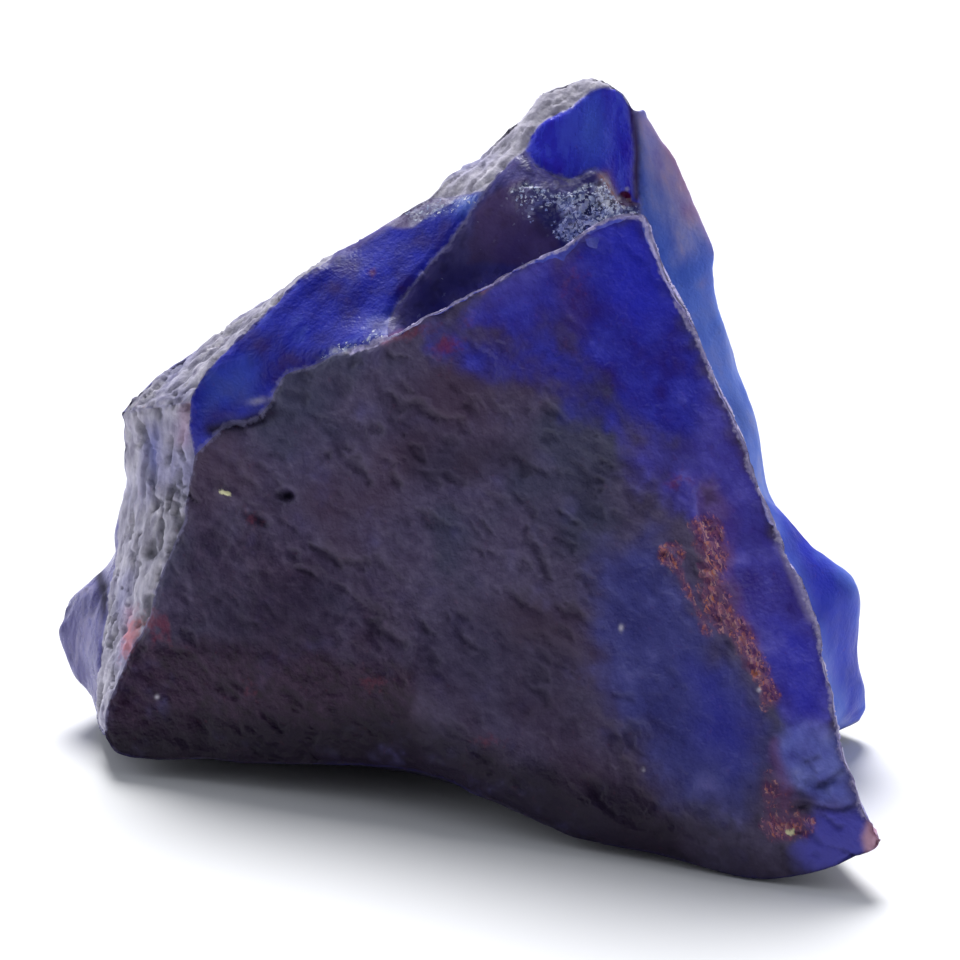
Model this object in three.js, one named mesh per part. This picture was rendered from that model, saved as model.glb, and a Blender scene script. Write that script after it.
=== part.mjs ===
// A rough, uncut blue corundum crystal: one broken lump, a free-standing natural piece.
// Millimetres, +Z up. The origin is at the middle of the bounding box, at its lowest level,
// so the stone stands on the plane z = 0 on its one flat facet. The broad broken face looks
// along -Y; +X is to the right of that face.
//
// The surface is built from a net of arrises (the lines where two broken faces meet) whose
// corner points are listed below. Every facet between them is triangulated, refined to an
// even grain, faired into a smooth sheet that hangs between its arrises, and roughened.
import * as THREE from "three";

// ---- driving dimensions -------------------------------------------------------------
const WIDTH = 46; // overall width of the finished lump along X
const GRAIN = 1.12; // edge length of the finished triangles before scaling
const GRAIN_BACK = 1.5; // the same for the facets at the back and underneath
const NET_WIDTH = 50.7; // width of the net as listed
const ROUGH = {
  // relief of each kind of surface: [height of the long waves, height of the short waves]
  front: [0.16, 0.08],
  left_wall: [0.22, 0.2],
  rind: [0.22, 0.2],
  rind_top: [0.18, 0.18],
  band: [0.14, 0.1],
  cleft: [0.2, 0.22],
  summit: [0.12, 0.08],
  fin_back: [0.08, 0.06],
  moat: [0.12, 0.1],
  flank: [0.14, 0.07],
  left: [0.16, 0.07],
  back_right: [0.35, 0.16],
  back_mid: [0.4, 0.18],
  back_left: [0.35, 0.16],
  under: [0.12, 0.08],
  rest: [0, 0],
};
const REACH = 3.2; // how far a swell point pulls the surface around it
const REACH_BACK = 5.5; // the same on the broad facets at the back
const FADE = 2.5; // how far from an arris a swell dies out
const COARSE = new Set(["back_right", "back_mid", "back_left", "under", "fin_back", "moat"]);

// ---- the net ------------------------------------------------------------------------
const POINTS = {
  // front-left arris, foot upwards
  LA0: [-22.98, 5.47, 2.56], LA1: [-22.79, 5.91, 4.03], LA2: [-22.22, 6.14, 5.32], LA3: [-21.77, 6.38, 6.48],
  LA4: [-21.46, 6.65, 7.62], LA5: [-20.51, 6.75, 8.96], LA6: [-19.95, 6.98, 10.24],
  LA7: [-19.63, 7.36, 11.66], LA8: [-19.19, 7.59, 12.81], LA9: [-18.63, 7.78, 13.98],
  LA10: [-17.94, 8.06, 15.55], LA11: [-17.88, 8.58, 17.11], LA12: [-17.5, 8.85, 18.3],
  // ridge of the fin, left to right
  RG1: [-16.13, 9.08, 20.47], RG2: [-15.21, 9.04, 21.38], RG3: [-14.34, 8.72, 21.42],
  RG4: [-13.36, 8.52, 21.94], RG5: [-12.74, 8.55, 22.69], RG6: [-12.19, 8.77, 23.95],
  RG7: [-11.58, 8.82, 24.75], RG8: [-10.18, 8.4, 25.08], RG9: [-9.02, 8.28, 26.01], RG10: [-7.75, 7.9, 26.32],
  RG11: [-6.49, 7.6, 26.86], RG12: [-5.47, 7.4, 27.42], RG13: [-4.45, 7.23, 28.04],
  RG14: [-3.44, 7.13, 28.88], RG15: [-2.31, 6.85, 29.34], RG16: [-1.42, 6.72, 29.93],
  RG17: [-0.53, 6.57, 30.48], RG18: [0.24, 6.42, 30.89], RG19: [1, 6.27, 31.31], RG20: [1.76, 6.2, 31.94],
  RG21: [2.64, 6.01, 32.37], RG22: [3.28, 5.92, 32.82], RG23: [4.1, 5.75, 33.24], RG24: [4.91, 5.57, 33.6],
  RG25: [5.72, 5.46, 34.18], RG26: [6.42, 5.41, 34.81], RG27: [7.4, 5.22, 35.35], RG28: [8.38, 4.97, 35.72],
  // right rim of the fin, tip downwards
  RR0: [9.64, 4.55, 35.9], RR1: [10.21, 3.76, 34.26], RR2: [10.89, 2.97, 32.75], RR3: [11.75, 2.12, 31.25],
  RR4: [12.43, 1.45, 30.07], RR5: [13.05, 0.69, 28.56], RR6: [13.79, -0.16, 26.96], RR7: [14.53, -0.9, 25.63],
  RR8: [15.26, -1.74, 24.03], RR9: [15.77, -2.44, 22.57], RR10: [16.44, -3.18, 21.18],
  RR11: [17, -3.85, 19.9], RR12: [17.68, -4.68, 18.25], RR13: [18.46, -5.39, 17.05],
  RR14: [18.85, -5.92, 15.97], RR15: [19.41, -6.56, 14.74], RR16: [19.74, -7.24, 13.17],
  RR17: [20.08, -7.88, 11.7], RR18: [20.35, -8.48, 10.28], RR19: [20.63, -8.99, 9.13],
  RR20: [20.86, -9.57, 7.7], RR21: [21.41, -10.11, 6.76], RR22: [21.8, -10.63, 5.68],
  RR23: [22.02, -11.06, 4.69],
  // small knob at the right toe
  KN0: [22.43, -11.17, 4.18], KN1: [22.84, -11.15, 3.73], KN2: [23.04, -11.09, 3.14],
  KN3: [22.74, -11.34, 2.75], KN4: [22.16, -11.53, 2.53],
  // front foot edge, right to left
  BE0: [21.33, -11.37, 2.07], BE1: [20.28, -11.18, 1.48], BE2: [18.56, -10.78, 0.72],
  BE3: [16.82, -10.33, 0.25], BE4: [15.24, -9.82, 0.13], BE5: [13.88, -9.26, 0.24], BE6: [12.47, -8.61, 0.38],
  BE7: [10.02, -7.48, 0.61], BE8: [7.77, -6.56, 0.62], BE9: [5.4, -5.62, 0.7], BE10: [3.53, -4.62, 1.2],
  BE11: [1.71, -3.64, 1.66], BE12: [-0.12, -2.59, 2.02], BE13: [-1.78, -1.49, 2.36],
  BE14: [-3.65, -0.23, 2.64], BE15: [-5.51, 0.43, 2.48], BE16: [-7.64, 1.17, 2.28], BE17: [-9.77, 1.8, 2.06],
  BE18: [-12.22, 2.54, 1.8], BE19: [-14.62, 3.16, 1.59], BE20: [-17.03, 3.85, 1.55],
  BE21: [-19.21, 4.44, 1.15], BE22: [-21.39, 4.93, 1.13], BE23: [-22.43, 5.09, 1.4],
  // left wall / blue band arris
  HC0: [-17.37, 9, 19.21], HC1: [-17.53, 9.1, 20.27], HC2: [-17.64, 9.2, 21.19], HC3: [-17.62, 9.5, 22.56],
  // lower rind / blue band arris
  GC0: [-17.02, 10, 23.79], GC1: [-16.13, 10.5, 24.77], GC2: [-15.11, 11, 25.75], GC3: [-14.2, 11.3, 26.54],
  GC4: [-13.24, 11.7, 27.3], GC5: [-12.28, 12.1, 28.18], GC6: [-11.31, 12.5, 29.01],
  GC7: [-10.35, 12.8, 29.68], GC8: [-9.39, 13.2, 30.19],
  // rear edge of the left wall, top downwards
  HR0: [-22.16, 12.6, 20.85], HR1: [-21.87, 12.9, 19.12], HR2: [-22.12, 13.1, 17.74],
  HR3: [-21.91, 13.1, 16.3], HR4: [-22.33, 13, 14.63], HR5: [-22.48, 12.8, 13.05], HR6: [-22.56, 12.4, 11.48],
  HR7: [-22.98, 11.8, 10.32], HR8: [-23.22, 11.2, 8.82], HR9: [-23.28, 10.8, 7.85],
  HR10: [-23.52, 10.3, 6.65], HR11: [-23.7, 9.8, 5.39], HR12: [-23.7, 9.3, 3.99], HR13: [-23.68, 8.6, 2.67],
  HR14: [-23.2, 7, 1.76],
  // crest of the lower rind
  GS0: [-21.59, 13.3, 21.52], GS1: [-20.88, 13.8, 22.06], GS2: [-19.78, 14.2, 22.9],
  GS3: [-18.5, 14.6, 23.54], GS4: [-17.21, 15, 24.44], GS5: [-15.79, 15.2, 25.41], GS6: [-14.31, 15.4, 26.25],
  GS7: [-12.83, 15.5, 27.12], GS8: [-11.95, 15.3, 27.82], GS9: [-11.01, 15.1, 28.46],
  GS10: [-8.64, 14.6, 30.46],
  // crest of the blue band
  CC0: [-7.29, 14.5, 31.5], CC1: [-5.88, 14.4, 32.35], CC2: [-4.91, 14.4, 33.05], CC3: [-4, 14.4, 33.49],
  CC4: [-3.03, 14.5, 33.9],
  // crest of the upper rind
  GT0: [-2.06, 15, 34.76], GT1: [-1.21, 15.3, 35.18], GT2: [-0.06, 15.6, 36.04], GT3: [0.61, 15.8, 36.73],
  GT4: [1.27, 16, 37.49], GT5: [1.94, 16.2, 38.25], GT6: [2.66, 16.4, 39.01], GT7: [3.33, 16.6, 39.58],
  GT8: [4, 16.8, 40.09], GT9: [5.33, 17, 40.54], GT10: [6.54, 17, 40.85], GT11: [7.45, 16.9, 40.75],
  GT12: [8.23, 16.7, 40.43], GT13: [9.01, 16.2, 39.81],
  // lower arris of the upper rind
  GA0: [-1.51, 14, 34.17], GA1: [0.24, 13, 34.83], GA2: [0.66, 13.2, 35.39], GA3: [1.14, 13.6, 35.97],
  GA4: [1.93, 14, 36.48], GA5: [2.71, 14.3, 36.96], GA6: [2.95, 14.7, 37.72], GA7: [3.62, 15, 38.57],
  GA8: [4.52, 15.2, 39.08], GA9: [5.42, 15.2, 39.39], GA10: [6.03, 15.5, 39.87], GA11: [6.64, 15.9, 40.26],
  GA12: [7.43, 16.2, 40.43], GA13: [8.21, 16.2, 40.37],
  // blue band / cleft arris
  CD0: [-0.6, 12.6, 33.69], CD1: [-1.2, 12.3, 32.78], CD2: [-1.86, 11.9, 31.9], CD3: [-2.52, 11.5, 31.27],
  CD4: [-3.12, 11.2, 30.67], CD5: [-3.96, 10.6, 29.72], CD6: [-4.56, 10.2, 29.1], CD7: [-5.09, 9.8, 28.53],
  CD8: [-5.5, 9.2, 27.78],
  // foot of the summit facet
  EL0: [3.01, 13.9, 36.57], EL1: [3.43, 13.6, 36.09], EL2: [4.39, 13.3, 35.68], EL3: [5.59, 13.2, 35.39],
  EL4: [6.31, 13.4, 35.84], EL5: [6.97, 13.5, 36.12], EL6: [7.46, 13.5, 35.75], EL7: [7.89, 13.4, 35.09],
  EL8: [8.31, 13.3, 34.43], EL9: [9.04, 13.3, 33.87],
  // summit facet / right flank arris
  EF0: [9.31, 15.8, 38.92], EF1: [9.42, 15.5, 38.25], EF2: [9.42, 15.2, 37.58], EF3: [9.48, 14.9, 36.85],
  EF4: [9.48, 14.6, 36.19], EF5: [9.42, 14.1, 35.02], EF6: [9.71, 13.5, 33.87], EF7: [9.94, 12.6, 32.13],
  EF8: [10.24, 11.8, 30.17],
  // foot of the fin's back wall in the cleft
  NB0: [-4.12, 7.98, 26.36], NB1: [-2.68, 7.82, 26.53], NB2: [-1.31, 7.61, 26.79], NB3: [0, 7.42, 27.04],
  NB4: [1.31, 7.11, 27.26], NB5: [2.73, 6.76, 27.5], NB6: [4.14, 6.41, 27.74], NB7: [5.61, 6.05, 27.98],
  NB8: [7.08, 5.68, 28.22], NB9: [8.53, 5.32, 28.46],
  // foot of the far wall of the cleft
  GB0: [-4.01, 8.9, 26.3], GB1: [-2.58, 9.3, 26.36], GB2: [-1.2, 9.6, 26.52], GB3: [0.12, 9.8, 26.71],
  GB4: [1.44, 10, 26.89], GB5: [2.82, 10.1, 27.11], GB6: [4.27, 10.2, 27.33], GB7: [5.77, 10.3, 27.55],
  GB8: [7.21, 10.3, 27.81], GB9: [8.71, 10.3, 28.06],
  // inner and outer corner of the moat behind the tip
  J: [9.87, 4.96, 28.58], J2: [10.33, 10.2, 28.03],
  // foot of the fin's back wall behind the right rim
  GL0: [10.58, 4.14, 26.38], GL1: [11.28, 3.23, 24.2], GL2: [11.98, 2.32, 22.03], GL3: [12.67, 1.31, 19.9],
  GL4: [13.25, 0.35, 17.76], GL5: [13.82, -0.62, 15.62], GL6: [14.45, -1.6, 13.49],
  GL7: [15.08, -2.59, 11.37], GL8: [15.77, -3.58, 9.25], GL9: [16.56, -4.62, 7.48],
  GL10: [17.46, -5.69, 6.04], GL11: [18.57, -6.92, 4.69], GL12: [19.76, -8.2, 3.94],
  // inner foot of the right flank slab
  FL0: [11.28, 9.2, 26.08], FL1: [12.27, 8, 23.95], FL2: [13.28, 6.9, 21.8], FL3: [14.27, 5.8, 19.66],
  FL4: [15.22, 4.8, 17.48],
  // limb of the right flank, top downwards
  FS0: [9.86, 16.2, 39.19], FS1: [10.34, 15.9, 38.64], FS2: [11.13, 15.6, 37.41], FS3: [11.92, 15.2, 36.15],
  FS4: [12.71, 14.8, 34.82], FS5: [13.2, 14.4, 33.55], FS6: [13.69, 14, 32.47], FS7: [14.23, 13.6, 31.52],
  FS8: [14.29, 13.3, 30.6], FS9: [14.24, 12.9, 29.14], FS10: [14.56, 12.5, 27.3], FS11: [15.05, 12.1, 25.58],
  FS12: [15.44, 11.8, 23.82], FS13: [16.13, 11.4, 21.91], FS14: [16.62, 11.2, 20.88],
  FS15: [17.13, 11, 19.72], FS16: [17.39, 10.8, 18.37], FS17: [17.47, 10.6, 16.89],
  FS18: [17.85, 10.4, 15.85],
  // limb of the right rear lobe
  LB0: [18.46, 10.2, 15.47], LB1: [19.14, 10, 14.5], LB2: [19.76, 9.8, 13.66], LB3: [20.87, 9.6, 12.69],
  LB4: [22.18, 9.5, 11.74], LB5: [23.08, 9.5, 10.56], LB6: [23.49, 9.5, 9.1], LB7: [23.35, 9.6, 7.94],
  LB8: [23.34, 9.7, 6.76], LB9: [23.39, 9.8, 5.52], LB10: [23.9, 10, 3.82], LB11: [24.15, 10.2, 2.19],
  LB12: [23.96, 10.5, 1.24],
  // limb of the left rear bump
  BU0: [-23.11, 13.3, 10.4], BU1: [-24.31, 13.8, 9.4], BU2: [-25.22, 14, 8.72], BU3: [-25.95, 14.1, 7.93],
  BU4: [-26.35, 14.1, 7.26], BU5: [-26.57, 14, 6.15], BU6: [-26.4, 13.7, 4.85], BU7: [-25.96, 13.4, 3.95],
  BU8: [-25.46, 13.1, 3.13], BU9: [-24.68, 12.6, 2.38], BU10: [-24.12, 11.8, 1.91],
  // foot line at the right
  SR0: [21.9, -8.6, 2.5], SR1: [20.9, -6, 1.9], SR2: [20, -3, 1.4], SR3: [19.4, 0.2, 1],
  SR4: [19.5, 3.6, 0.8], SR5: [20.6, 7, 0.7], SR6: [21.7, 9.4, 0.7],
  // foot line at the back, right to left
  Q0: [21.6, 12.6, 0.9], Q1: [18.6, 15.6, 0.9], Q2: [14, 18, 1], Q3: [8.5, 20.2, 1], Q4: [2.5, 21.6, 1.2],
  Q5: [-4, 21.4, 1.3], Q6: [-10, 20.4, 1], Q7: [-15.5, 18.8, 0.9], Q8: [-20.6, 16.9, 1],
  Q9: [-23.4, 14.4, 1.2], Q10: [-24.1, 11.6, 1.1], Q11: [-23.7, 9.2, 1.2],
  // outline of the flat resting facet
  Z0: [-19.8, 9.6, 0], Z1: [-16.5, 8.6, 0], Z2: [-11.5, 7.7, 0], Z3: [-6, 7.2, 0], Z4: [-1.8, 4.9, 0],
  Z5: [2.4, 1.2, 0], Z6: [6.8, -3, 0], Z7: [11.4, -5.8, 0], Z8: [15.4, -8.2, 0], Z9: [18.2, -6.8, 0],
  Z10: [18.6, -3.2, 0], Z11: [18, 1.4, 0], Z12: [18.6, 6, 0], Z13: [20, 9.8, 0], Z14: [18.4, 13.4, 0],
  Z15: [14, 16, 0], Z16: [8.6, 18.2, 0], Z17: [2.2, 19.6, 0], Z18: [-4.4, 19.4, 0], Z19: [-10.2, 18.4, 0],
  Z20: [-15.6, 16.8, 0], Z21: [-20, 14.8, 0], Z22: [-21.4, 12, 0],
  // back arris, right
  K0: [6.4, 18.4, 38], K1: [7.4, 19.4, 32.6], K2: [7.2, 20.8, 26.6], K3: [7.9, 22.2, 19.8],
  K4: [8.6, 22.6, 12.6], K5: [8.8, 22, 6],
  // back arris, middle
  M0: [-1.4, 17.8, 32.8], M1: [-3.8, 19.4, 26.8], M2: [-6.4, 20.6, 20.6], M3: [-7.6, 21.6, 14],
  M4: [-9.6, 22.2, 7.4],
  // back arris, left
  W0: [-16.4, 16.9, 20.6], W1: [-18.2, 17.9, 16], W2: [-19.6, 18.5, 11], W3: [-20, 18.2, 5.5],
  // back arris beside the lobe
  X0: [15, 16.6, 24], X1: [17.4, 15.6, 17], X2: [19.2, 15, 10.5], X3: [20.2, 14.6, 5.2],
};

// Each facet: its name, the surface it belongs to, and its outline, counter-clockwise seen
// from outside. A0..A5 stands for the run of points from A0 to A5. Two outlines of one
// surface meet without an arris between them.
const FACETS = [
  ["front", "front", "BE23..BE0 KN4..KN0 RR23..RR0 RG28..RG1 HC0 LA12..LA0"],
  ["left_wall", "left_wall", "LA0..LA12 HC0..HC3 HR0..HR14"],
  ["rind_low", "rind", "HC3 GC0..GC8 GS10..GS0 HR0"],
  ["band", "band", "RG1..RG12 CD8..CD0 GA1..GA0 CC4..CC0 GS10 GC8..GC0 HC3..HC0"],
  ["cleft_far", "cleft", "CD0..CD8 RG12 GB0..GB9 J2 EF8..EF6 EL9..EL0 GA5..GA1"],
  ["summit", "summit", "EL0..EL9 EF6..EF0 GT13 GA13..GA5"],
  ["rind_top", "rind_top", "CC4 GA0..GA13 GT13..GT0"],
  ["cleft_near", "fin_back", "RG12..RG28 RR0 J NB9..NB0"],
  ["cleft_floor", "moat", "RG12 NB0..NB9 J J2 GB9..GB0"],
  ["fin_side", "fin_back", "RR0..RR23 KN0..KN2 SR0 GL12..GL0 J"],
  ["moat_side", "moat", "J GL0..GL4 FL4..FL0 J2"],
  ["flank_up", "flank", "GT13 EF0..EF8 J2 FL0..FL4 FS18..FS0"],
  ["flank_low", "flank", "GL4..GL12 SR0..SR6 LB12..LB0 FS18 FL4"],
  ["flank_back", "flank", "GT13 FS0..FS18 LB0..LB12 Q0..Q1 X3..X0"],
  ["back_right", "back_right", "GT13 X0..X3 Q1..Q3 K5..K0 GT12"],
  ["back_mid", "back_mid", "K0..K5 Q3..Q6 M4..M0 GT2..GT12"],
  ["back_left", "back_left", "M0..M4 Q6..Q8 W3..W0 GS4..GS10 CC0..CC4 GT0..GT2"],
  ["left_up", "left", "W0..W2 HR6..HR0 GS0..GS4"],
  ["bump_front", "left", "HR6 BU0..BU10 Q10..Q11 HR14..HR7"],
  ["bump_back", "left", "W2..W3 Q8..Q10 BU10..BU0 HR6"],
  ["rest", "rest", "Z22..Z0"],
];

// The bevel between the foot of the stone and the resting facet.
const UNDERCUT = [
  "Z0 BE23 LA0", "Z0 BE22 BE23", "Z0 BE21 BE22", "Z0 Z1 BE21", "Z1 BE20 BE21", "Z1 BE19 BE20",
  "Z1 Z2 BE19", "Z2 BE18 BE19", "Z2 BE17 BE18", "Z2 Z3 BE17", "Z3 BE16 BE17", "Z3 BE15 BE16",
  "Z3 Z4 BE15", "Z4 BE14 BE15", "Z4 Z5 BE14", "Z5 BE13 BE14", "Z5 BE12 BE13", "Z5 BE11 BE12",
  "Z5 Z6 BE11", "Z6 BE10 BE11", "Z6 BE9 BE10", "Z6 BE8 BE9", "Z6 Z7 BE8", "Z7 BE7 BE8", "Z7 BE6 BE7",
  "Z7 Z8 BE6", "Z8 BE5 BE6", "Z8 BE4 BE5", "Z8 BE3 BE4", "Z8 Z9 BE3", "Z9 BE2 BE3", "Z9 BE1 BE2",
  "Z9 BE0 BE1", "Z9 KN4 BE0", "Z9 KN3 KN4", "Z9 KN2 KN3", "Z9 SR0 KN2", "Z9 SR1 SR0", "Z9 Z10 SR1",
  "Z10 SR2 SR1", "Z10 SR3 SR2", "Z10 Z11 SR3", "Z11 SR4 SR3", "Z11 Z12 SR4", "Z12 SR5 SR4",
  "Z12 Z13 SR5", "Z13 SR6 SR5", "Z13 LB12 SR6", "Z13 Q0 LB12", "Z13 Z14 Q0", "Z14 Q1 Q0",
  "Z14 Z15 Q1", "Z15 Q2 Q1", "Z15 Z16 Q2", "Z16 Q3 Q2", "Z16 Z17 Q3", "Z17 Q4 Q3", "Z17 Q5 Q4",
  "Z17 Z18 Q5", "Z18 Q6 Q5", "Z18 Z19 Q6", "Z19 Q7 Q6", "Z19 Z20 Q7", "Z20 Q8 Q7", "Z20 Z21 Q8",
  "Z21 Q9 Q8", "Z21 Z22 Q9", "Z22 Q10 Q9", "Z22 Q11 Q10", "Z22 Z0 Q11", "Z0 HR14 Q11", "Z0 LA0 HR14",
];

// Points that a surface swells or hollows through, besides its outline.
const SWELLS = [
  ["front", -15.07, 4.34, 9.16], ["front", -8.96, 2.29, 10], ["front", -3.26, -0.02, 9.67],
  ["front", -20.69, 6.18, 7.42], ["front", -16.98, 4.28, 4.93], ["front", -13.27, 3, 5.02],
  ["front", -8.99, 1.51, 5.47], ["front", -5.67, 0.2, 5.38], ["front", -3.68, -0.7, 6.42],
  ["front", -1.77, -1.78, 5.6], ["front", 2.35, -3.93, 4.62], ["front", 5.84, -5.52, 4.06],
  ["front", 9.29, -7.1, 3.5], ["front", 12.71, -8.51, 3.2], ["front", 16.1, -9.76, 3.02],
  ["front", 19.47, -10.75, 3.1], ["front", 4.68, 2.03, 24], ["front", -0.59, 3.89, 23.35],
  ["front", -5.94, 5.23, 21.63], ["front", -11.39, 6.55, 19.26], ["front", -10.78, 4.42, 14.3],
  ["front", -3.55, 2.17, 15.8], ["front", 3.52, -0.31, 16.13], ["front", 8.16, -2.93, 12.14],
  ["front", 10.46, -5.32, 8.1], ["front", 12.73, -3.75, 14.98], ["front", 14.98, -4, 17.55],
  ["front", 6.99, 3.74, 30.81], ["front", 17.23, -8.16, 8.08], ["front", 18.35, -7.73, 10.39],
  ["cleft", 1.68, 12.4, 34.62], ["cleft", 2.52, 12.1, 34.96], ["cleft", 3.41, 11.9, 35.14],
  ["cleft", 4.19, 11.8, 34.73], ["cleft", 4.91, 11.9, 34.52], ["cleft", 5.69, 12.1, 34.71],
  ["cleft", 6.48, 12.4, 35], ["cleft", 7.32, 12.9, 35.6], ["cleft", 7.92, 12.4, 34.25],
  ["cleft", 8.53, 12.4, 33.63], ["flank", 22.27, 7.9, 10.34], ["flank", 22.44, 8, 7.33],
  ["flank", 22.94, 8.4, 4.17], ["flank", 23.01, 8.6, 2.47], ["flank", 20.79, 7.6, 12.29],
  ["flank", 19.51, 7.2, 13.48], ["flank", 21.01, 6.6, 8.23], ["flank", 21.27, 6.4, 5.02],
  ["flank", 17.75, 4, 11.89], ["flank", 18.75, 3.2, 8.33], ["flank", 19.64, 2.6, 4.67],
  ["flank", 22.9, 12, 8.8], ["flank", 23, 12.6, 4.6], ["flank", 20.2, 13.6, 11.6], ["flank", 21.4, 14, 7],
  ["flank", 22.6, 12.3, 2.4], ["flank", 17.2, 13.4, 18], ["flank", 17.9, 13.4, 15],
  ["left", -24.82, 12.4, 7.07], ["left", -24.33, 11.8, 5.09], ["left", -23.89, 12.5, 9.04],
  ["left", -24.71, 13, 8.31], ["left", -25.4, 15.7, 5.6], ["left", -24.3, 16.9, 3.6],
  ["left", -23.6, 17, 7.4], ["left", -24.6, 15.2, 2.2], ["left", -22.2, 16, 12],
  ["left", -20.4, 16.2, 16.6], ["left", -19.2, 15.8, 21], ["left", -22.2, 17.4, 9.4],
  ["back_right", 13.6, 18, 16], ["back_right", 14.2, 18.4, 9], ["back_right", 12, 18.2, 24],
  ["back_right", 9.6, 18, 32], ["back_mid", 1.4, 18.6, 27], ["back_mid", 0.6, 19, 21],
  ["back_mid", -1.2, 19.6, 15], ["back_mid", 2.4, 18, 33], ["back_mid", -1.6, 21.6, 7],
  ["back_mid", 4.4, 21.8, 9], ["back_left", -12, 17.2, 21], ["back_left", -14.6, 17.6, 15],
  ["back_left", -14.8, 18.6, 8], ["back_left", -7, 17.2, 26.4], ["back_left", -10.6, 17.4, 17],
];

// ---- building the skin --------------------------------------------------------------
const pos = []; // [x, y, z] of each vertex
const held = []; // true where a vertex stays on its arris or control point
const tris = []; // { v: [a, b, c], s: surface name }
const sharp = new Set(); // keys of the edges that are arrises
const key = (a, b) => (a < b ? a * 65536 + b : b * 65536 + a);
const sub = (a, b) => [a[0] - b[0], a[1] - b[1], a[2] - b[2]];
const add = (a, b) => [a[0] + b[0], a[1] + b[1], a[2] + b[2]];
const mul = (a, k) => [a[0] * k, a[1] * k, a[2] * k];
const dot = (a, b) => a[0] * b[0] + a[1] * b[1] + a[2] * b[2];
const cross = (a, b) => [a[1] * b[2] - a[2] * b[1], a[2] * b[0] - a[0] * b[2], a[0] * b[1] - a[1] * b[0]];
const len = (a) => Math.hypot(a[0], a[1], a[2]);
const unit = (a) => mul(a, 1 / (len(a) || 1));

const id = {};
for (const [name, p] of Object.entries(POINTS)) {
  id[name] = pos.length;
  pos.push([...p]);
  held.push(true);
}

function expand(text) {
  const out = [];
  for (const word of text.split(" ")) {
    const run = word.match(/^([A-Z]+)(\d+)\.\.([A-Z]+)(\d+)$/);
    if (!run) {
      out.push(id[word]);
      continue;
    }
    const from = Number(run[2]),
      to = Number(run[4]),
      step = to >= from ? 1 : -1;
    for (let i = from; i !== to + step; i += step) out.push(id[run[1] + i]);
  }
  return out;
}

// Triangulates one outline in the plane that fits it best.
function fill(outline, surface) {
  let n = [0, 0, 0];
  outline.forEach((a, i) => {
    n = add(n, cross(pos[a], pos[outline[(i + 1) % outline.length]]));
  });
  n = unit(n);
  const u = unit(cross(Math.abs(n[2]) < 0.9 ? [0, 0, 1] : [1, 0, 0], n)),
    w = cross(n, u);
  const flat = outline.map((a) => new THREE.Vector2(dot(pos[a], u), dot(pos[a], w)));
  const local = THREE.ShapeUtils.triangulateShape(flat, []).map((t) => [...t]);
  // Turns the diagonals until no corner lies inside a neighbouring triangle's circle.
  const area = (a, b, c) =>
    (flat[b].x - flat[a].x) * (flat[c].y - flat[a].y) - (flat[c].x - flat[a].x) * (flat[b].y - flat[a].y);
  const corner = (o, a, b) => {
    const p = flat[a].clone().sub(flat[o]),
      q = flat[b].clone().sub(flat[o]);
    return Math.atan2(Math.abs(p.cross(q)), p.dot(q));
  };
  for (let pass = 0, changed = true; changed && pass < 200; pass++) {
    changed = false;
    const m = new Map();
    local.forEach((t, i) => {
      for (let k = 0; k < 3; k++) {
        const e = key(t[k], t[(k + 1) % 3]);
        if (m.has(e)) m.get(e).push(i);
        else m.set(e, [i]);
      }
    });
    const touched = new Set();
    for (const [e, pair] of m) {
      if (pair.length !== 2 || touched.has(pair[0]) || touched.has(pair[1])) continue;
      const [i, j] = pair,
        k = local[i].findIndex((x, q) => key(x, local[i][(q + 1) % 3]) === e),
        a = local[i][k],
        b = local[i][(k + 1) % 3],
        c = local[i][(k + 2) % 3],
        d = local[j].find((x) => x !== a && x !== b);
      if (corner(c, a, b) + corner(d, a, b) <= Math.PI + 1e-6) continue;
      if (area(c, a, d) <= 1e-9 || area(c, d, b) <= 1e-9) continue;
      local[i] = [c, a, d];
      local[j] = [c, d, b];
      touched.add(i);
      touched.add(j);
      changed = true;
    }
  }
  for (const t of local) tris.push({ v: t.map((k) => outline[k]), s: surface });
}
const outlines = FACETS.map(([, surface, text]) => [surface, expand(text)]).concat(
  UNDERCUT.map((text) => ["under", expand(text)]),
);
for (const [surface, outline] of outlines) fill(outline, surface);

// An edge between two different surfaces is an arris.
function edgeMap() {
  const m = new Map();
  tris.forEach((t, i) => {
    for (let k = 0; k < 3; k++) {
      const e = key(t.v[k], t.v[(k + 1) % 3]);
      if (m.has(e)) m.get(e).push(i);
      else m.set(e, [i]);
    }
  });
  return m;
}
for (const [e, [i, j]] of edgeMap()) if (tris[i].s !== tris[j].s) sharp.add(e);

const grainOf = (s) => (s === "rest" ? 9 : COARSE.has(s) ? GRAIN_BACK : GRAIN);

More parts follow.
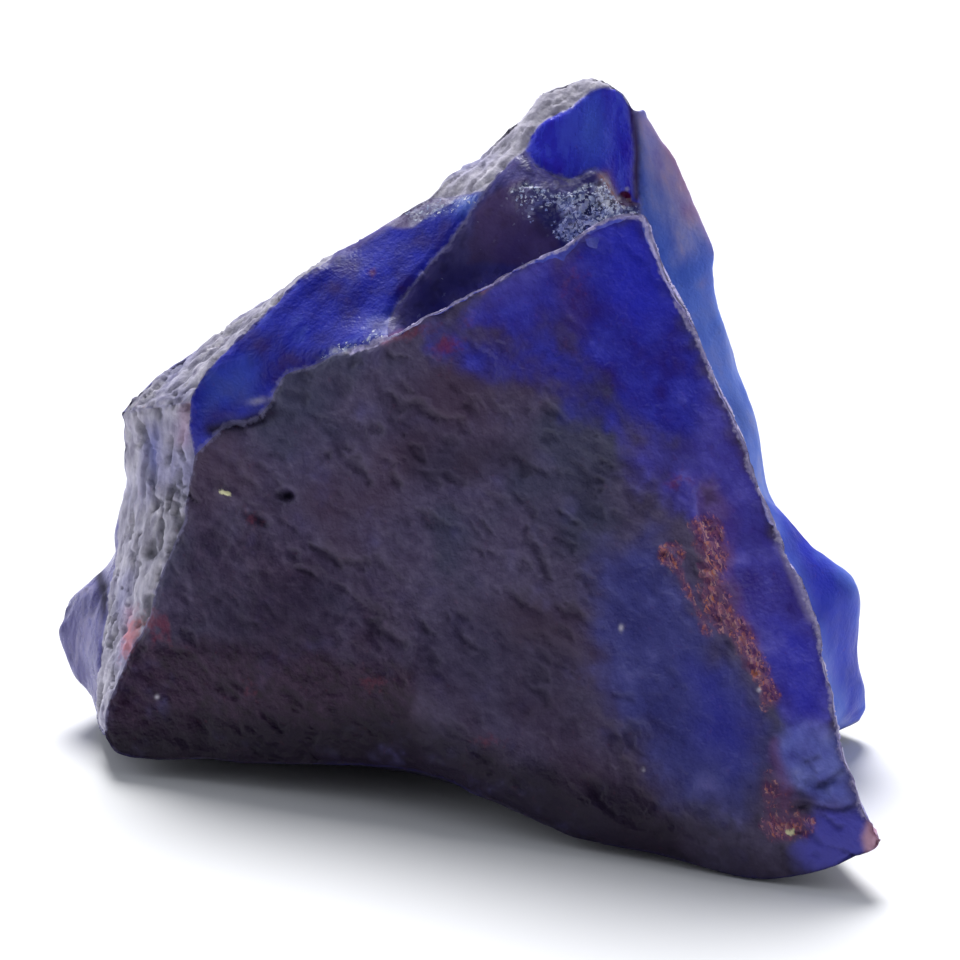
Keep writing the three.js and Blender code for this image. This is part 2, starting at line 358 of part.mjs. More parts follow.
// Halves every edge that is too long, longest first.
function split(limit) {
  const m = edgeMap(),
    long = [];
  for (const [e, [i, j]] of m) {
    const a = Math.floor(e / 65536),
      b = e % 65536,
      l = len(sub(pos[a], pos[b]));
    let g = Math.min(grainOf(tris[i].s), grainOf(tris[j].s));
    if (tris[i].s === "rest" || tris[j].s === "rest") g = tris[i].s === tris[j].s ? 99 : 2.6;
    if (l > limit * g) long.push([l / g, e, a, b, i, j]);
  }
  long.sort((p, q) => q[0] - p[0] || p[1] - q[1]);
  const touched = new Set();
  let count = 0;
  for (const [, e, a, b, i, j] of long) {
    if (touched.has(i) || touched.has(j)) continue;
    const c = pos.length;
    pos.push(mul(add(pos[a], pos[b]), 0.5));
    held.push(sharp.has(e));
    if (sharp.has(e)) {
      sharp.delete(e);
      sharp.add(key(a, c));
      sharp.add(key(b, c));
    }
    for (const t of [i, j]) {
      const v = tris[t].v,
        k = v.findIndex((x, q) => key(x, v[(q + 1) % 3]) === e),
        p = v[k],
        q = v[(k + 1) % 3],
        r = v[(k + 2) % 3];
      tris[t].v = [p, c, r];
      tris.push({ v: [c, q, r], s: tris[t].s });
      touched.add(t);
    }
    count++;
  }
  return count;
}

const normalOf = (a, b, c) => cross(sub(pos[b], pos[a]), sub(pos[c], pos[a]));
const angleAt = (o, a, b) => {
  const p = unit(sub(pos[a], pos[o])),
    q = unit(sub(pos[b], pos[o]));
  return Math.acos(Math.max(-1, Math.min(1, dot(p, q))));
};

// Turns edges inside a surface so that its triangles come out well shaped.
function turn() {
  let count = 0;
  const m = edgeMap();
  const touched = new Set();
  for (const [e, pair] of m) {
    if (sharp.has(e) || pair.length !== 2) continue;
    const [i, j] = pair;
    if (touched.has(i) || touched.has(j) || tris[i].s !== tris[j].s) continue;
    const v = tris[i].v,
      k = v.findIndex((x, q) => key(x, v[(q + 1) % 3]) === e);
    const a = v[k],
      b = v[(k + 1) % 3],
      c = v[(k + 2) % 3];
    const d = tris[j].v.find((x) => x !== a && x !== b);
    if (angleAt(c, a, b) + angleAt(d, a, b) <= Math.PI + 1e-3) continue;
    if (m.has(key(c, d))) continue;
    const n1 = unit(normalOf(c, a, d)),
      n2 = unit(normalOf(c, d, b)),
      n0 = unit(add(normalOf(a, b, c), normalOf(b, a, d)));
    if (dot(n1, n2) < 0.3 || dot(n1, n0) < 0.3 || dot(n2, n0) < 0.3) continue;
    tris[i].v = [c, a, d];
    tris[j].v = [c, d, b];
    m.set(key(c, d), [i, j]);
    touched.add(i);
    touched.add(j);
    count++;
  }
  return count;
}

function neighbours() {
  const n = pos.map(() => new Set());
  for (const { v } of tris)
    for (let k = 0; k < 3; k++) {
      n[v[k]].add(v[(k + 1) % 3]);
      n[v[(k + 1) % 3]].add(v[k]);
    }
  return n.map((s) => [...s]);
}
const mean = (list) => {
  let m = [0, 0, 0];
  for (const q of list) m = add(m, pos[q]);
  return mul(m, 1 / list.length);
};
function relax(rounds) {
  const n = neighbours();
  for (let r = 0; r < rounds; r++)
    for (let i = 0; i < pos.length; i++) if (!held[i] && n[i].length) pos[i] = mean(n[i]);
}

turn();
turn();
for (let round = 0; round < 14; round++) {
  split(1.35);
  turn();
  turn();
  relax(round < 4 ? 12 : 4);
}

// The surface that each vertex lies in, or null on an arris.
function surfaces() {
  const s = pos.map(() => undefined);
  for (const t of tris) for (const a of t.v) s[a] = s[a] === undefined || s[a] === t.s ? t.s : null;
  return s;
}

// Smooths the crease that a surface has along the held points inside it.
function soften(rounds, surfacesToSoften) {
  const n = neighbours(),
    s = surfaces(),
    own = [];
  for (let i = 0; i < pos.length; i++) if (s[i] && surfacesToSoften.has(s[i])) own.push(i);
  // Each round draws every vertex towards its neighbours and then lets it out again, so
  // the surface loses its kinks but keeps its girth.
  for (let r = 0; r < rounds; r++)
    for (const k of [0.5, -0.53]) {
      const next = own.map((i) => add(mul(pos[i], 1 - k), mul(mean(n[i]), k)));
      own.forEach((i, q) => {
        pos[i] = next[q];
      });
    }
}

// Solves a small set of linear equations by elimination.
function solve(A, B) {
  const n = A.length;
  for (let c = 0; c < n; c++) {
    let p = c;
    for (let r = c + 1; r < n; r++) if (Math.abs(A[r][c]) > Math.abs(A[p][c])) p = r;
    [A[c], A[p]] = [A[p], A[c]];
    [B[c], B[p]] = [B[p], B[c]];
    for (let r = c + 1; r < n; r++) {
      const k = A[r][c] / A[c][c];
      for (let q = c; q < n; q++) A[r][q] -= k * A[c][q];
      B[r] = sub(B[r], mul(B[c], k));
    }
  }
  const X = [];
  for (let r = n - 1; r >= 0; r--) {
    let v = B[r];
    for (let q = r + 1; q < n; q++) v = sub(v, mul(X[q], A[r][q]));
    X[r] = mul(v, 1 / A[r][r]);
  }
  return X;
}

// Bends each surface through its swell points, with the bend dying out at the arrises.
function swell(pins, reach) {
  const s = surfaces();
  for (const surface of new Set(pins.map((w) => w[0]))) {
    const mine = [],
      rim = [];
    for (const t of tris) if (t.s === surface) for (const i of t.v) (s[i] === null ? rim : mine).push(i);
    const inside = [...new Set(mine)],
      edge = [...new Set(rim)];
    const fade = (p) => {
      let l = Infinity;
      for (const i of edge) l = Math.min(l, len(sub(pos[i], p)));
      const t = Math.min(1, l / FADE);
      return t * (2 - t);
    };
    const points = pins.filter((w) => w[0] === surface).map(([, x, y, z]) => {
      let at = null,
        far = Infinity;
      for (const i of inside) {
        const l = len(sub(pos[i], [x, y, z]));
        if (l < far) {
          far = l;
          at = pos[i];
        }
      }
      return { at: [...at], move: sub([x, y, z], at), w: Math.max(0.25, fade(at)) };
    });
    const phi = (p, q) => Math.exp(-(((len(sub(p, q)) / reach) ** 2) / 2));
    const c = solve(
      points.map((p, i) => points.map((q, j) => phi(p.at, q.at) + (i === j ? 0.05 : 0))),
      points.map((p) => mul(p.move, 1 / p.w)),
    );
    const moves = inside.map((i) => {
      let m = [0, 0, 0];
      points.forEach((q, j) => {
        m = add(m, mul(c[j], phi(pos[i], q.at)));
      });
      return mul(m, fade(pos[i]));
    });
    inside.forEach((i, k) => {
      pos[i] = add(pos[i], moves[k]);
    });
  }
}
relax(40);
// The rounded surfaces lose the crease along their limbs, and are then drawn back out to them.
{
  const s = surfaces(),
    limbs = [];
  for (let i = 0; i < pos.length; i++)
    if (held[i] && (s[i] === "flank" || s[i] === "left")) limbs.push([s[i], ...pos[i]]);
  swell(
    SWELLS.filter((w) => !w[0].startsWith("back")),
    REACH,
  );
  swell(
    SWELLS.filter((w) => w[0].startsWith("back")),
    REACH_BACK,
  );
  soften(10, new Set(["flank", "left"]));
  swell(limbs, 1.8);
}
soften(3, new Set(["front", "cleft", "back_right", "back_mid", "back_left"]));
split(1.6);
turn();
turn();

// ---- roughening ---------------------------------------------------------------------
// Smooth lattice noise in -1..1.
function lattice(x, y, z, seed) {
  let h = (Math.imul(x, 374761393) + Math.imul(y, 668265263) + Math.imul(z, 1440662683) + Math.imul(seed, 1274126177)) | 0;
  h = Math.imul(h ^ (h >>> 13), 1274126177);
  h ^= h >>> 16;
  return ((h >>> 0) / 4294967295) * 2 - 1;
}
function noise(p, size, seed) {
  const q = p.map((c) => c / size),
    f = q.map(Math.floor),
    t = q.map((c, i) => {
      const r = c - f[i];
      return r * r * (3 - 2 * r);
    });
  let sum = 0;
  for (let i = 0; i < 8; i++) {
    const d = [i & 1, (i >> 1) & 1, (i >> 2) & 1];
    let w = 1;
    for (let k = 0; k < 3; k++) w *= d[k] ? t[k] : 1 - t[k];
    sum += w * lattice(f[0] + d[0], f[1] + d[1], f[2] + d[2], seed);
  }
  return sum;
}
{
  const nrm = pos.map(() => [0, 0, 0]),
    amp = pos.map(() => [0, 0, 0]);
  let flat = new Set();
  for (const { v, s } of tris) {
    const n = normalOf(...v);
    for (const a of v) {
      nrm[a] = add(nrm[a], n);
      amp[a] = add(amp[a], [ROUGH[s][0], ROUGH[s][1], 1]);
      if (s === "rest") flat.add(a);
    }
  }
  const s = surfaces();
  pos.forEach((p, i) => {
    if (flat.has(i)) return;
    const [a, b, w] = amp[i];
    const onArris = s[i] === null ? 0.55 : 1;
    const nearFoot = Math.min(1, Math.max(0.15, (p[2] - 0.2) / 2.5));
    const h = (a / w) * noise(p, 4.3, 11) * onArris + (b / w) * noise(p, 1.9, 23);
    pos[i] = add(p, mul(unit(nrm[i]), h * nearFoot));
    if (pos[i][2] < 0.05) pos[i][2] = 0.05;
  });
}

// ---- the finished mesh ----------------------------------------------------------------
const scale = WIDTH / NET_WIDTH;
let low = [Infinity, Infinity, Infinity],
  high = [-Infinity, -Infinity, -Infinity];
for (const p of pos) {
  low = low.map((c, i) => Math.min(c, p[i] * scale));
  high = high.map((c, i) => Math.max(c, p[i] * scale));
}
const shift = [-(low[0] + high[0]) / 2, -(low[1] + high[1]) / 2, -low[2]];
const geometry = new THREE.BufferGeometry();
geometry.setAttribute(
  "position",
  new THREE.BufferAttribute(new Float32Array(pos.flatMap((p) => add(mul(p, scale), shift))), 3),
);
geometry.setIndex(tris.flatMap((t) => t.v));
geometry.computeVertexNormals();

const stone = new THREE.Mesh(
  geometry,
  new THREE.MeshStandardMaterial({ color: 0x232a66, roughness: 0.5, metalness: 0 }),
);
stone.name = "rough_sapphire";

const group = new THREE.Group();
group.name = "rough_sapphire_specimen";
group.add(stone);
export default group;
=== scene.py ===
import heapq
import math
import re

import bpy
import numpy as np
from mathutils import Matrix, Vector
from mathutils.bvhtree import BVHTree


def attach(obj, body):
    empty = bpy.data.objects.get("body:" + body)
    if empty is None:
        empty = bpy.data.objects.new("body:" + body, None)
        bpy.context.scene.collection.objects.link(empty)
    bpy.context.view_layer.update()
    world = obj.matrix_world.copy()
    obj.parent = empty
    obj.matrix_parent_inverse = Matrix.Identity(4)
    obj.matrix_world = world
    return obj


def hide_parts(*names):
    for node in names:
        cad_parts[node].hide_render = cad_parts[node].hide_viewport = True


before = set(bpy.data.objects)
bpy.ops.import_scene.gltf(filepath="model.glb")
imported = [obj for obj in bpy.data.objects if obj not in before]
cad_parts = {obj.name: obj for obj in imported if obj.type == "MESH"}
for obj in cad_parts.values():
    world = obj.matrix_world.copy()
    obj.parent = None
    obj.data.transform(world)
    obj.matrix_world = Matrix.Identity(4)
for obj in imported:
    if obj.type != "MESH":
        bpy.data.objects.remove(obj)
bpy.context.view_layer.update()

NODE = "rough_sapphire"

# ---- the net of arrises, in net millimetres, and its place in the row frame ------------
NET = {
    "LA0": [(-22.98, 5.47, 2.56), (-22.79, 5.91, 4.03), (-22.22, 6.14, 5.32), (-21.77, 6.38, 6.48),
        (-21.46, 6.65, 7.62), (-20.51, 6.75, 8.96), (-19.95, 6.98, 10.24), (-19.63, 7.36, 11.66),
        (-19.19, 7.59, 12.81), (-18.63, 7.78, 13.98), (-17.94, 8.06, 15.55), (-17.88, 8.58, 17.11),
        (-17.5, 8.85, 18.3)],
    "RG1": [(-16.13, 9.08, 20.47), (-15.21, 9.04, 21.38), (-14.34, 8.72, 21.42), (-13.36, 8.52, 21.94),
        (-12.74, 8.55, 22.69), (-12.19, 8.77, 23.95), (-11.58, 8.82, 24.75), (-10.18, 8.4, 25.08),
        (-9.02, 8.28, 26.01), (-7.75, 7.9, 26.32), (-6.49, 7.6, 26.86), (-5.47, 7.4, 27.42),
        (-4.45, 7.23, 28.04), (-3.44, 7.13, 28.88), (-2.31, 6.85, 29.34), (-1.42, 6.72, 29.93),
        (-0.53, 6.57, 30.48), (0.24, 6.42, 30.89), (1, 6.27, 31.31), (1.76, 6.2, 31.94), (2.64, 6.01, 32.37),
        (3.28, 5.92, 32.82), (4.1, 5.75, 33.24), (4.91, 5.57, 33.6), (5.72, 5.46, 34.18), (6.42, 5.41, 34.81),
        (7.4, 5.22, 35.35), (8.38, 4.97, 35.72)],
    "RR0": [(9.64, 4.55, 35.9), (10.21, 3.76, 34.26), (10.89, 2.97, 32.75), (11.75, 2.12, 31.25),
        (12.43, 1.45, 30.07), (13.05, 0.69, 28.56), (13.79, -0.16, 26.96), (14.53, -0.9, 25.63),
        (15.26, -1.74, 24.03), (15.77, -2.44, 22.57), (16.44, -3.18, 21.18), (17, -3.85, 19.9),
        (17.68, -4.68, 18.25), (18.46, -5.39, 17.05), (18.85, -5.92, 15.97), (19.41, -6.56, 14.74),
        (19.74, -7.24, 13.17), (20.08, -7.88, 11.7), (20.35, -8.48, 10.28), (20.63, -8.99, 9.13),
        (20.86, -9.57, 7.7), (21.41, -10.11, 6.76), (21.8, -10.63, 5.68), (22.02, -11.06, 4.69)],
    "KN0": [(22.43, -11.17, 4.18), (22.84, -11.15, 3.73), (23.04, -11.09, 3.14), (22.74, -11.34, 2.75),
        (22.16, -11.53, 2.53)],
    "BE0": [(21.33, -11.37, 2.07), (20.28, -11.18, 1.48), (18.56, -10.78, 0.72), (16.82, -10.33, 0.25),
        (15.24, -9.82, 0.13), (13.88, -9.26, 0.24), (12.47, -8.61, 0.38), (10.02, -7.48, 0.61),
        (7.77, -6.56, 0.62), (5.4, -5.62, 0.7), (3.53, -4.62, 1.2), (1.71, -3.64, 1.66), (-0.12, -2.59, 2.02),
        (-1.78, -1.49, 2.36), (-3.65, -0.23, 2.64), (-5.51, 0.43, 2.48), (-7.64, 1.17, 2.28),
        (-9.77, 1.8, 2.06), (-12.22, 2.54, 1.8), (-14.62, 3.16, 1.59), (-17.03, 3.85, 1.55),
        (-19.21, 4.44, 1.15), (-21.39, 4.93, 1.13), (-22.43, 5.09, 1.4)],
    "HC0": [(-17.37, 9, 19.21), (-17.53, 9.1, 20.27), (-17.64, 9.2, 21.19), (-17.62, 9.5, 22.56)],
    "GC0": [(-17.02, 10, 23.79), (-16.13, 10.5, 24.77), (-15.11, 11, 25.75), (-14.2, 11.3, 26.54),
        (-13.24, 11.7, 27.3), (-12.28, 12.1, 28.18), (-11.31, 12.5, 29.01), (-10.35, 12.8, 29.68),
        (-9.39, 13.2, 30.19)],
    "HR0": [(-22.16, 12.6, 20.85), (-21.87, 12.9, 19.12), (-22.12, 13.1, 17.74), (-21.91, 13.1, 16.3),
        (-22.33, 13, 14.63), (-22.48, 12.8, 13.05), (-22.56, 12.4, 11.48), (-22.98, 11.8, 10.32),
        (-23.22, 11.2, 8.82), (-23.28, 10.8, 7.85), (-23.52, 10.3, 6.65), (-23.7, 9.8, 5.39),
        (-23.7, 9.3, 3.99), (-23.68, 8.6, 2.67), (-23.2, 7, 1.76)],
    "GS0": [(-21.59, 13.3, 21.52), (-20.88, 13.8, 22.06), (-19.78, 14.2, 22.9), (-18.5, 14.6, 23.54),
        (-17.21, 15, 24.44), (-15.79, 15.2, 25.41), (-14.31, 15.4, 26.25), (-12.83, 15.5, 27.12),
        (-11.95, 15.3, 27.82), (-11.01, 15.1, 28.46), (-8.64, 14.6, 30.46)],
    "CC0": [(-7.29, 14.5, 31.5), (-5.88, 14.4, 32.35), (-4.91, 14.4, 33.05), (-4, 14.4, 33.49),
        (-3.03, 14.5, 33.9)],
    "GT0": [(-2.06, 15, 34.76), (-1.21, 15.3, 35.18), (-0.06, 15.6, 36.04), (0.61, 15.8, 36.73),
        (1.27, 16, 37.49), (1.94, 16.2, 38.25), (2.66, 16.4, 39.01), (3.33, 16.6, 39.58), (4, 16.8, 40.09),
        (5.33, 17, 40.54), (6.54, 17, 40.85), (7.45, 16.9, 40.75), (8.23, 16.7, 40.43), (9.01, 16.2, 39.81)],
    "GA0": [(-1.51, 14, 34.17), (0.24, 13, 34.83), (0.66, 13.2, 35.39), (1.14, 13.6, 35.97), (1.93, 14, 36.48),
        (2.71, 14.3, 36.96), (2.95, 14.7, 37.72), (3.62, 15, 38.57), (4.52, 15.2, 39.08), (5.42, 15.2, 39.39),
        (6.03, 15.5, 39.87), (6.64, 15.9, 40.26), (7.43, 16.2, 40.43), (8.21, 16.2, 40.37)],
    "CD0": [(-0.6, 12.6, 33.69), (-1.2, 12.3, 32.78), (-1.86, 11.9, 31.9), (-2.52, 11.5, 31.27),
        (-3.12, 11.2, 30.67), (-3.96, 10.6, 29.72), (-4.56, 10.2, 29.1), (-5.09, 9.8, 28.53),
        (-5.5, 9.2, 27.78)],
    "EL0": [(3.01, 13.9, 36.57), (3.43, 13.6, 36.09), (4.39, 13.3, 35.68), (5.59, 13.2, 35.39),
        (6.31, 13.4, 35.84), (6.97, 13.5, 36.12), (7.46, 13.5, 35.75), (7.89, 13.4, 35.09),
        (8.31, 13.3, 34.43), (9.04, 13.3, 33.87)],
    "EF0": [(9.31, 15.8, 38.92), (9.42, 15.5, 38.25), (9.42, 15.2, 37.58), (9.48, 14.9, 36.85),
        (9.48, 14.6, 36.19), (9.42, 14.1, 35.02), (9.71, 13.5, 33.87), (9.94, 12.6, 32.13),
        (10.24, 11.8, 30.17)],
    "NB0": [(-4.12, 7.98, 26.36), (-2.68, 7.82, 26.53), (-1.31, 7.61, 26.79), (0, 7.42, 27.04),
        (1.31, 7.11, 27.26), (2.73, 6.76, 27.5), (4.14, 6.41, 27.74), (5.61, 6.05, 27.98), (7.08, 5.68, 28.22),
        (8.53, 5.32, 28.46)],
    "GB0": [(-4.01, 8.9, 26.3), (-2.58, 9.3, 26.36), (-1.2, 9.6, 26.52), (0.12, 9.8, 26.71), (1.44, 10, 26.89),
        (2.82, 10.1, 27.11), (4.27, 10.2, 27.33), (5.77, 10.3, 27.55), (7.21, 10.3, 27.81),
        (8.71, 10.3, 28.06)],
    "J": [(9.87, 4.96, 28.58)],
    "J2": [(10.33, 10.2, 28.03)],
    "GL0": [(10.58, 4.14, 26.38), (11.28, 3.23, 24.2), (11.98, 2.32, 22.03), (12.67, 1.31, 19.9),
        (13.25, 0.35, 17.76), (13.82, -0.62, 15.62), (14.45, -1.6, 13.49), (15.08, -2.59, 11.37),
        (15.77, -3.58, 9.25), (16.56, -4.62, 7.48), (17.46, -5.69, 6.04), (18.57, -6.92, 4.69),
        (19.76, -8.2, 3.94)],
    "FL0": [(11.28, 9.2, 26.08), (12.27, 8, 23.95), (13.28, 6.9, 21.8), (14.27, 5.8, 19.66),
        (15.22, 4.8, 17.48)],
    "FS0": [(9.86, 16.2, 39.19), (10.34, 15.9, 38.64), (11.13, 15.6, 37.41), (11.92, 15.2, 36.15),
        (12.71, 14.8, 34.82), (13.2, 14.4, 33.55), (13.69, 14, 32.47), (14.23, 13.6, 31.52),
        (14.29, 13.3, 30.6), (14.24, 12.9, 29.14), (14.56, 12.5, 27.3), (15.05, 12.1, 25.58),
        (15.44, 11.8, 23.82), (16.13, 11.4, 21.91), (16.62, 11.2, 20.88), (17.13, 11, 19.72),
        (17.39, 10.8, 18.37), (17.47, 10.6, 16.89), (17.85, 10.4, 15.85)],
    "LB0": [(18.46, 10.2, 15.47), (19.14, 10, 14.5), (19.76, 9.8, 13.66), (20.87, 9.6, 12.69),
        (22.18, 9.5, 11.74), (23.08, 9.5, 10.56), (23.49, 9.5, 9.1), (23.35, 9.6, 7.94), (23.34, 9.7, 6.76),
        (23.39, 9.8, 5.52), (23.9, 10, 3.82), (24.15, 10.2, 2.19), (23.96, 10.5, 1.24)],
    "BU0": [(-23.11, 13.3, 10.4), (-24.31, 13.8, 9.4), (-25.22, 14, 8.72), (-25.95, 14.1, 7.93),
        (-26.35, 14.1, 7.26), (-26.57, 14, 6.15), (-26.4, 13.7, 4.85), (-25.96, 13.4, 3.95),
        (-25.46, 13.1, 3.13), (-24.68, 12.6, 2.38), (-24.12, 11.8, 1.91)],
    "SR0": [(21.9, -8.6, 2.5), (20.9, -6, 1.9), (20, -3, 1.4), (19.4, 0.2, 1), (19.5, 3.6, 0.8),
        (20.6, 7, 0.7), (21.7, 9.4, 0.7)],
    "Q0": [(21.6, 12.6, 0.9), (18.6, 15.6, 0.9), (14, 18, 1), (8.5, 20.2, 1), (2.5, 21.6, 1.2),
        (-4, 21.4, 1.3), (-10, 20.4, 1), (-15.5, 18.8, 0.9), (-20.6, 16.9, 1), (-23.4, 14.4, 1.2),
        (-24.1, 11.6, 1.1), (-23.7, 9.2, 1.2)],
    "Z0": [(-19.8, 9.6, 0), (-16.5, 8.6, 0), (-11.5, 7.7, 0), (-6, 7.2, 0), (-1.8, 4.9, 0), (2.4, 1.2, 0),
        (6.8, -3, 0), (11.4, -5.8, 0), (15.4, -8.2, 0), (18.2, -6.8, 0), (18.6, -3.2, 0), (18, 1.4, 0),
        (18.6, 6, 0), (20, 9.8, 0), (18.4, 13.4, 0), (14, 16, 0), (8.6, 18.2, 0), (2.2, 19.6, 0),
        (-4.4, 19.4, 0), (-10.2, 18.4, 0), (-15.6, 16.8, 0), (-20, 14.8, 0), (-21.4, 12, 0)],
    "K0": [(6.4, 18.4, 38), (7.4, 19.4, 32.6), (7.2, 20.8, 26.6), (7.9, 22.2, 19.8), (8.6, 22.6, 12.6),
        (8.8, 22, 6)],
    "M0": [(-1.4, 17.8, 32.8), (-3.8, 19.4, 26.8), (-6.4, 20.6, 20.6), (-7.6, 21.6, 14), (-9.6, 22.2, 7.4)],
    "W0": [(-16.4, 16.9, 20.6), (-18.2, 17.9, 16), (-19.6, 18.5, 11), (-20, 18.2, 5.5)],
    "X0": [(15, 16.6, 24), (17.4, 15.6, 17), (19.2, 15, 10.5), (20.2, 14.6, 5.2)],
}
NET_SCALE = 0.9072978
NET_SHIFT = np.array([1.09528, -4.96, 0.0])
# The arrises between two kinds of surface, as runs through the net.
ARRIS = {
    "front/left_wall": "LA0..LA12 HC0",
    "front/band": "HC0 RG1..RG12",
    "front/fin_back": "RG12..RG28 RR0..RR23 KN0..KN2",
    "front/under": "KN2..KN4 BE0..BE23 LA0",
    "left_wall/band": "HC0..HC3",
    "left_wall/rind": "HC3 HR0",
    "left_wall/left": "HR0..HR14",
    "left_wall/under": "HR14 LA0",
    "rind/band": "HC3 GC0..GC8 GS10",
    "rind/left": "HR0 GS0..GS4",
    "rind/back_left": "GS4..GS10",
    "band/cleft": "RG12 CD8..CD0 GA1",
    "band/rind_top": "GA1 GA0 CC4",
    "band/back_left": "CC4..CC0 GS10",
    "cleft/moat": "RG12 GB0..GB9 J2",
    "cleft/flank": "J2 EF8..EF6",
    "cleft/summit": "EF6 EL9..EL0 GA5",
    "cleft/rind_top": "GA5..GA1",
    "summit/flank": "EF6..EF0 GT13",
    "summit/rind_top": "GT13 GA13..GA5",
    "rind_top/back": "CC4 GT0..GT13",
    "fin_back/moat": "RG12 NB0..NB9 J GL0..GL4",
    "fin_back/flank": "GL4..GL12 SR0",
    "fin_back/under": "KN2 SR0",
    "moat/flank": "GL4 FL4..FL0 J2",
    "flank/under": "SR0..SR6 LB12 Q0 Q1",
    "flank/back_right": "Q1 X3..X0 GT13",
    "back_right/back_mid": "Q3 K5..K0 GT12",
    "back_mid/back_left": "Q6 M4..M0 GT2",
    "back_left/left": "GS4 W0..W3 Q8",
    "back/under": "Q1..Q11 HR14",
    "under/rest": "Z0..Z22 Z0",
}
# A few points deep inside each surface, in row-frame millimetres.
INSIDE = {
    "back_left": [(-10.0, 11.1, 13.7), (-11.8, 12.0, 5.3), (-7.3, 10.5, 22.1), (-3.6, 9.8, 27.0),
        (-14.3, 11.4, 9.5), (-6.5, 11.2, 17.0)],
    "back_mid": [(1.4, 14.0, 9.5), (2.3, 12.3, 21.0), (3.9, 11.8, 29.5), (-4.1, 14.8, 4.9), (5.7, 14.7, 4.4),
        (-2.3, 12.5, 15.9)],
    "back_right": [(14.0, 12.0, 7.7), (11.9, 12.3, 17.1), (10.4, 12.2, 24.0), (15.0, 10.5, 13.2),
        (10.7, 13.8, 11.7), (16.8, 9.9, 3.8)],
    "band": [(-6.3, 4.7, 25.7), (-9.6, 4.4, 24.0), (-3.2, 6.3, 28.3), (-12.4, 3.6, 21.0)],
    "cleft": [(4.3, 5.6, 28.8), (0.4, 4.7, 26.3), (8.3, 5.2, 27.5), (7.3, 5.8, 30.7)],
    "fin_back": [(16.9, -9.2, 11.9), (8.2, -0.6, 29.2), (18.2, -11.3, 7.3), (15.5, -7.4, 16.1),
        (12.4, -3.5, 23.2), (14.0, -5.5, 20.1)],
    "flank": [(19.7, 0.6, 8.9), (16.4, 4.5, 17.9), (17.9, -5.9, 5.3), (13.9, 6.1, 24.9), (22.1, 5.8, 4.4),
        (15.6, -2.4, 13.0)],
    "front": [(0.9, -4.2, 14.0), (-10.8, -1.6, 8.8), (9.4, -9.7, 6.9), (-6.7, 0.4, 18.4), (5.9, -3.2, 22.1),
        (9.1, -6.5, 14.9)],
    "left": [(-21.7, 9.5, 5.5), (-18.6, 9.7, 12.1), (-17.1, 9.2, 17.6), (-21.1, 5.8, 4.0),
        (-18.7, 11.2, 8.2), (-19.7, 10.5, 2.4)],
    "left_wall": [(-17.5, 4.5, 13.4), (-18.7, 3.1, 8.1), (-16.5, 4.6, 17.3), (-19.8, 2.5, 4.9)],
    "moat": [(11.0, 0.8, 23.2), (12.8, -0.8, 19.4), (8.3, 2.6, 25.1), (4.1, 2.6, 24.9)],
    "rest": [(11.7, 2.1, 0.0), (2.3, 3.2, 0.0), (-2.4, 9.0, 0.0), (-8.1, 5.2, 0.0)],
    "rind": [(-15.0, 6.3, 21.4), (-12.4, 6.8, 23.5), (-10.2, 7.5, 25.4), (-16.8, 6.4, 20.2)],
    "rind_top": [(1.3, 8.1, 32.4), (3.0, 8.5, 33.8), (5.9, 9.9, 36.4), (2.0, 8.8, 33.2)],
    "summit": [(7.4, 8.6, 34.5), (5.3, 7.9, 33.8), (8.4, 7.8, 32.8), (8.6, 9.3, 35.5)],
    "under": [(-4.7, -1.4, 0.9), (-10.6, -0.0, 0.8), (-0.6, -3.7, 1.1), (-15.1, 1.0, 0.7), (3.4, -6.6, 0.8),
        (19.0, -13.1, 1.2)],
}
KINDS = list(INSIDE)
KIND = {k: i for i, k in enumerate(KINDS)}

WORLD = {}
for first, points in NET.items():
    found = re.match(r"([A-Z]+)(\d*)$", first)
    for i, p in enumerate(points):
        name = first if first[0] == "J" else found.group(1) + str(int(found.group(2)) + i)
        WORLD[name] = np.array(p) * NET_SCALE + NET_SHIFT


def run(text):
    out = []
    for word in text.split():
        m = re.match(r"^([A-Z]+)(\d+)\.\.([A-Z]+)(\d+)$", word)
        if m:
            a, b = int(m.group(2)), int(m.group(4))
            step = 1 if b >= a else -1
            out += [WORLD[m.group(1) + str(i)] for i in range(a, b + step, step)]
        else:
            out.append(WORLD[word])
    return np.array(out)


def to_line(p, line):
    """Distance of each point to a polyline, and where along it the nearest point lies, 0 to 1."""
    best, along = np.full(len(p), 1e9), np.zeros(len(p))
    seg = np.linalg.norm(np.diff(line, axis=0), axis=1)
    total, gone = seg.sum(), 0.0
    for a, b, l in zip(line[:-1], line[1:], seg):
        d = b - a
        t = np.clip(((p - a) @ d) / max(d @ d, 1e-12), 0, 1)
        q = np.linalg.norm(p - (a + t[:, None] * d), axis=1)
        near = q < best
        best = np.where(near, q, best)
        along = np.where(near, (gone + t * l) / total, along)
        gone += l
    return best, along


# ---- the skin: weld, name its surfaces, refine --------------------------------------
def welded(mesh):
    co = np.zeros(len(mesh.vertices) * 3, np.float32)
    mesh.vertices.foreach_get("co", co)
    co = co.reshape(-1, 3).astype(float) * 1000.0
    mesh.calc_loop_triangles()
    tri = np.zeros(len(mesh.loop_triangles) * 3, np.int32)
    mesh.loop_triangles.foreach_get("vertices", tri)
    keys, first, inv = np.unique(np.round(co * 2000).astype(np.int64), axis=0, return_index=True, return_inverse=True)
    f = inv.reshape(-1)[tri].reshape(-1, 3)
    good = (f[:, 0] != f[:, 1]) & (f[:, 1] != f[:, 2]) & (f[:, 2] != f[:, 0])
    f = f[good]
    # An order that depends on nothing but the shape.
    f = np.array([np.roll(t, -int(np.argmin(t))) for t in f])
    f = f[np.lexsort((f[:, 2], f[:, 1], f[:, 0]))]
    return co[first], f


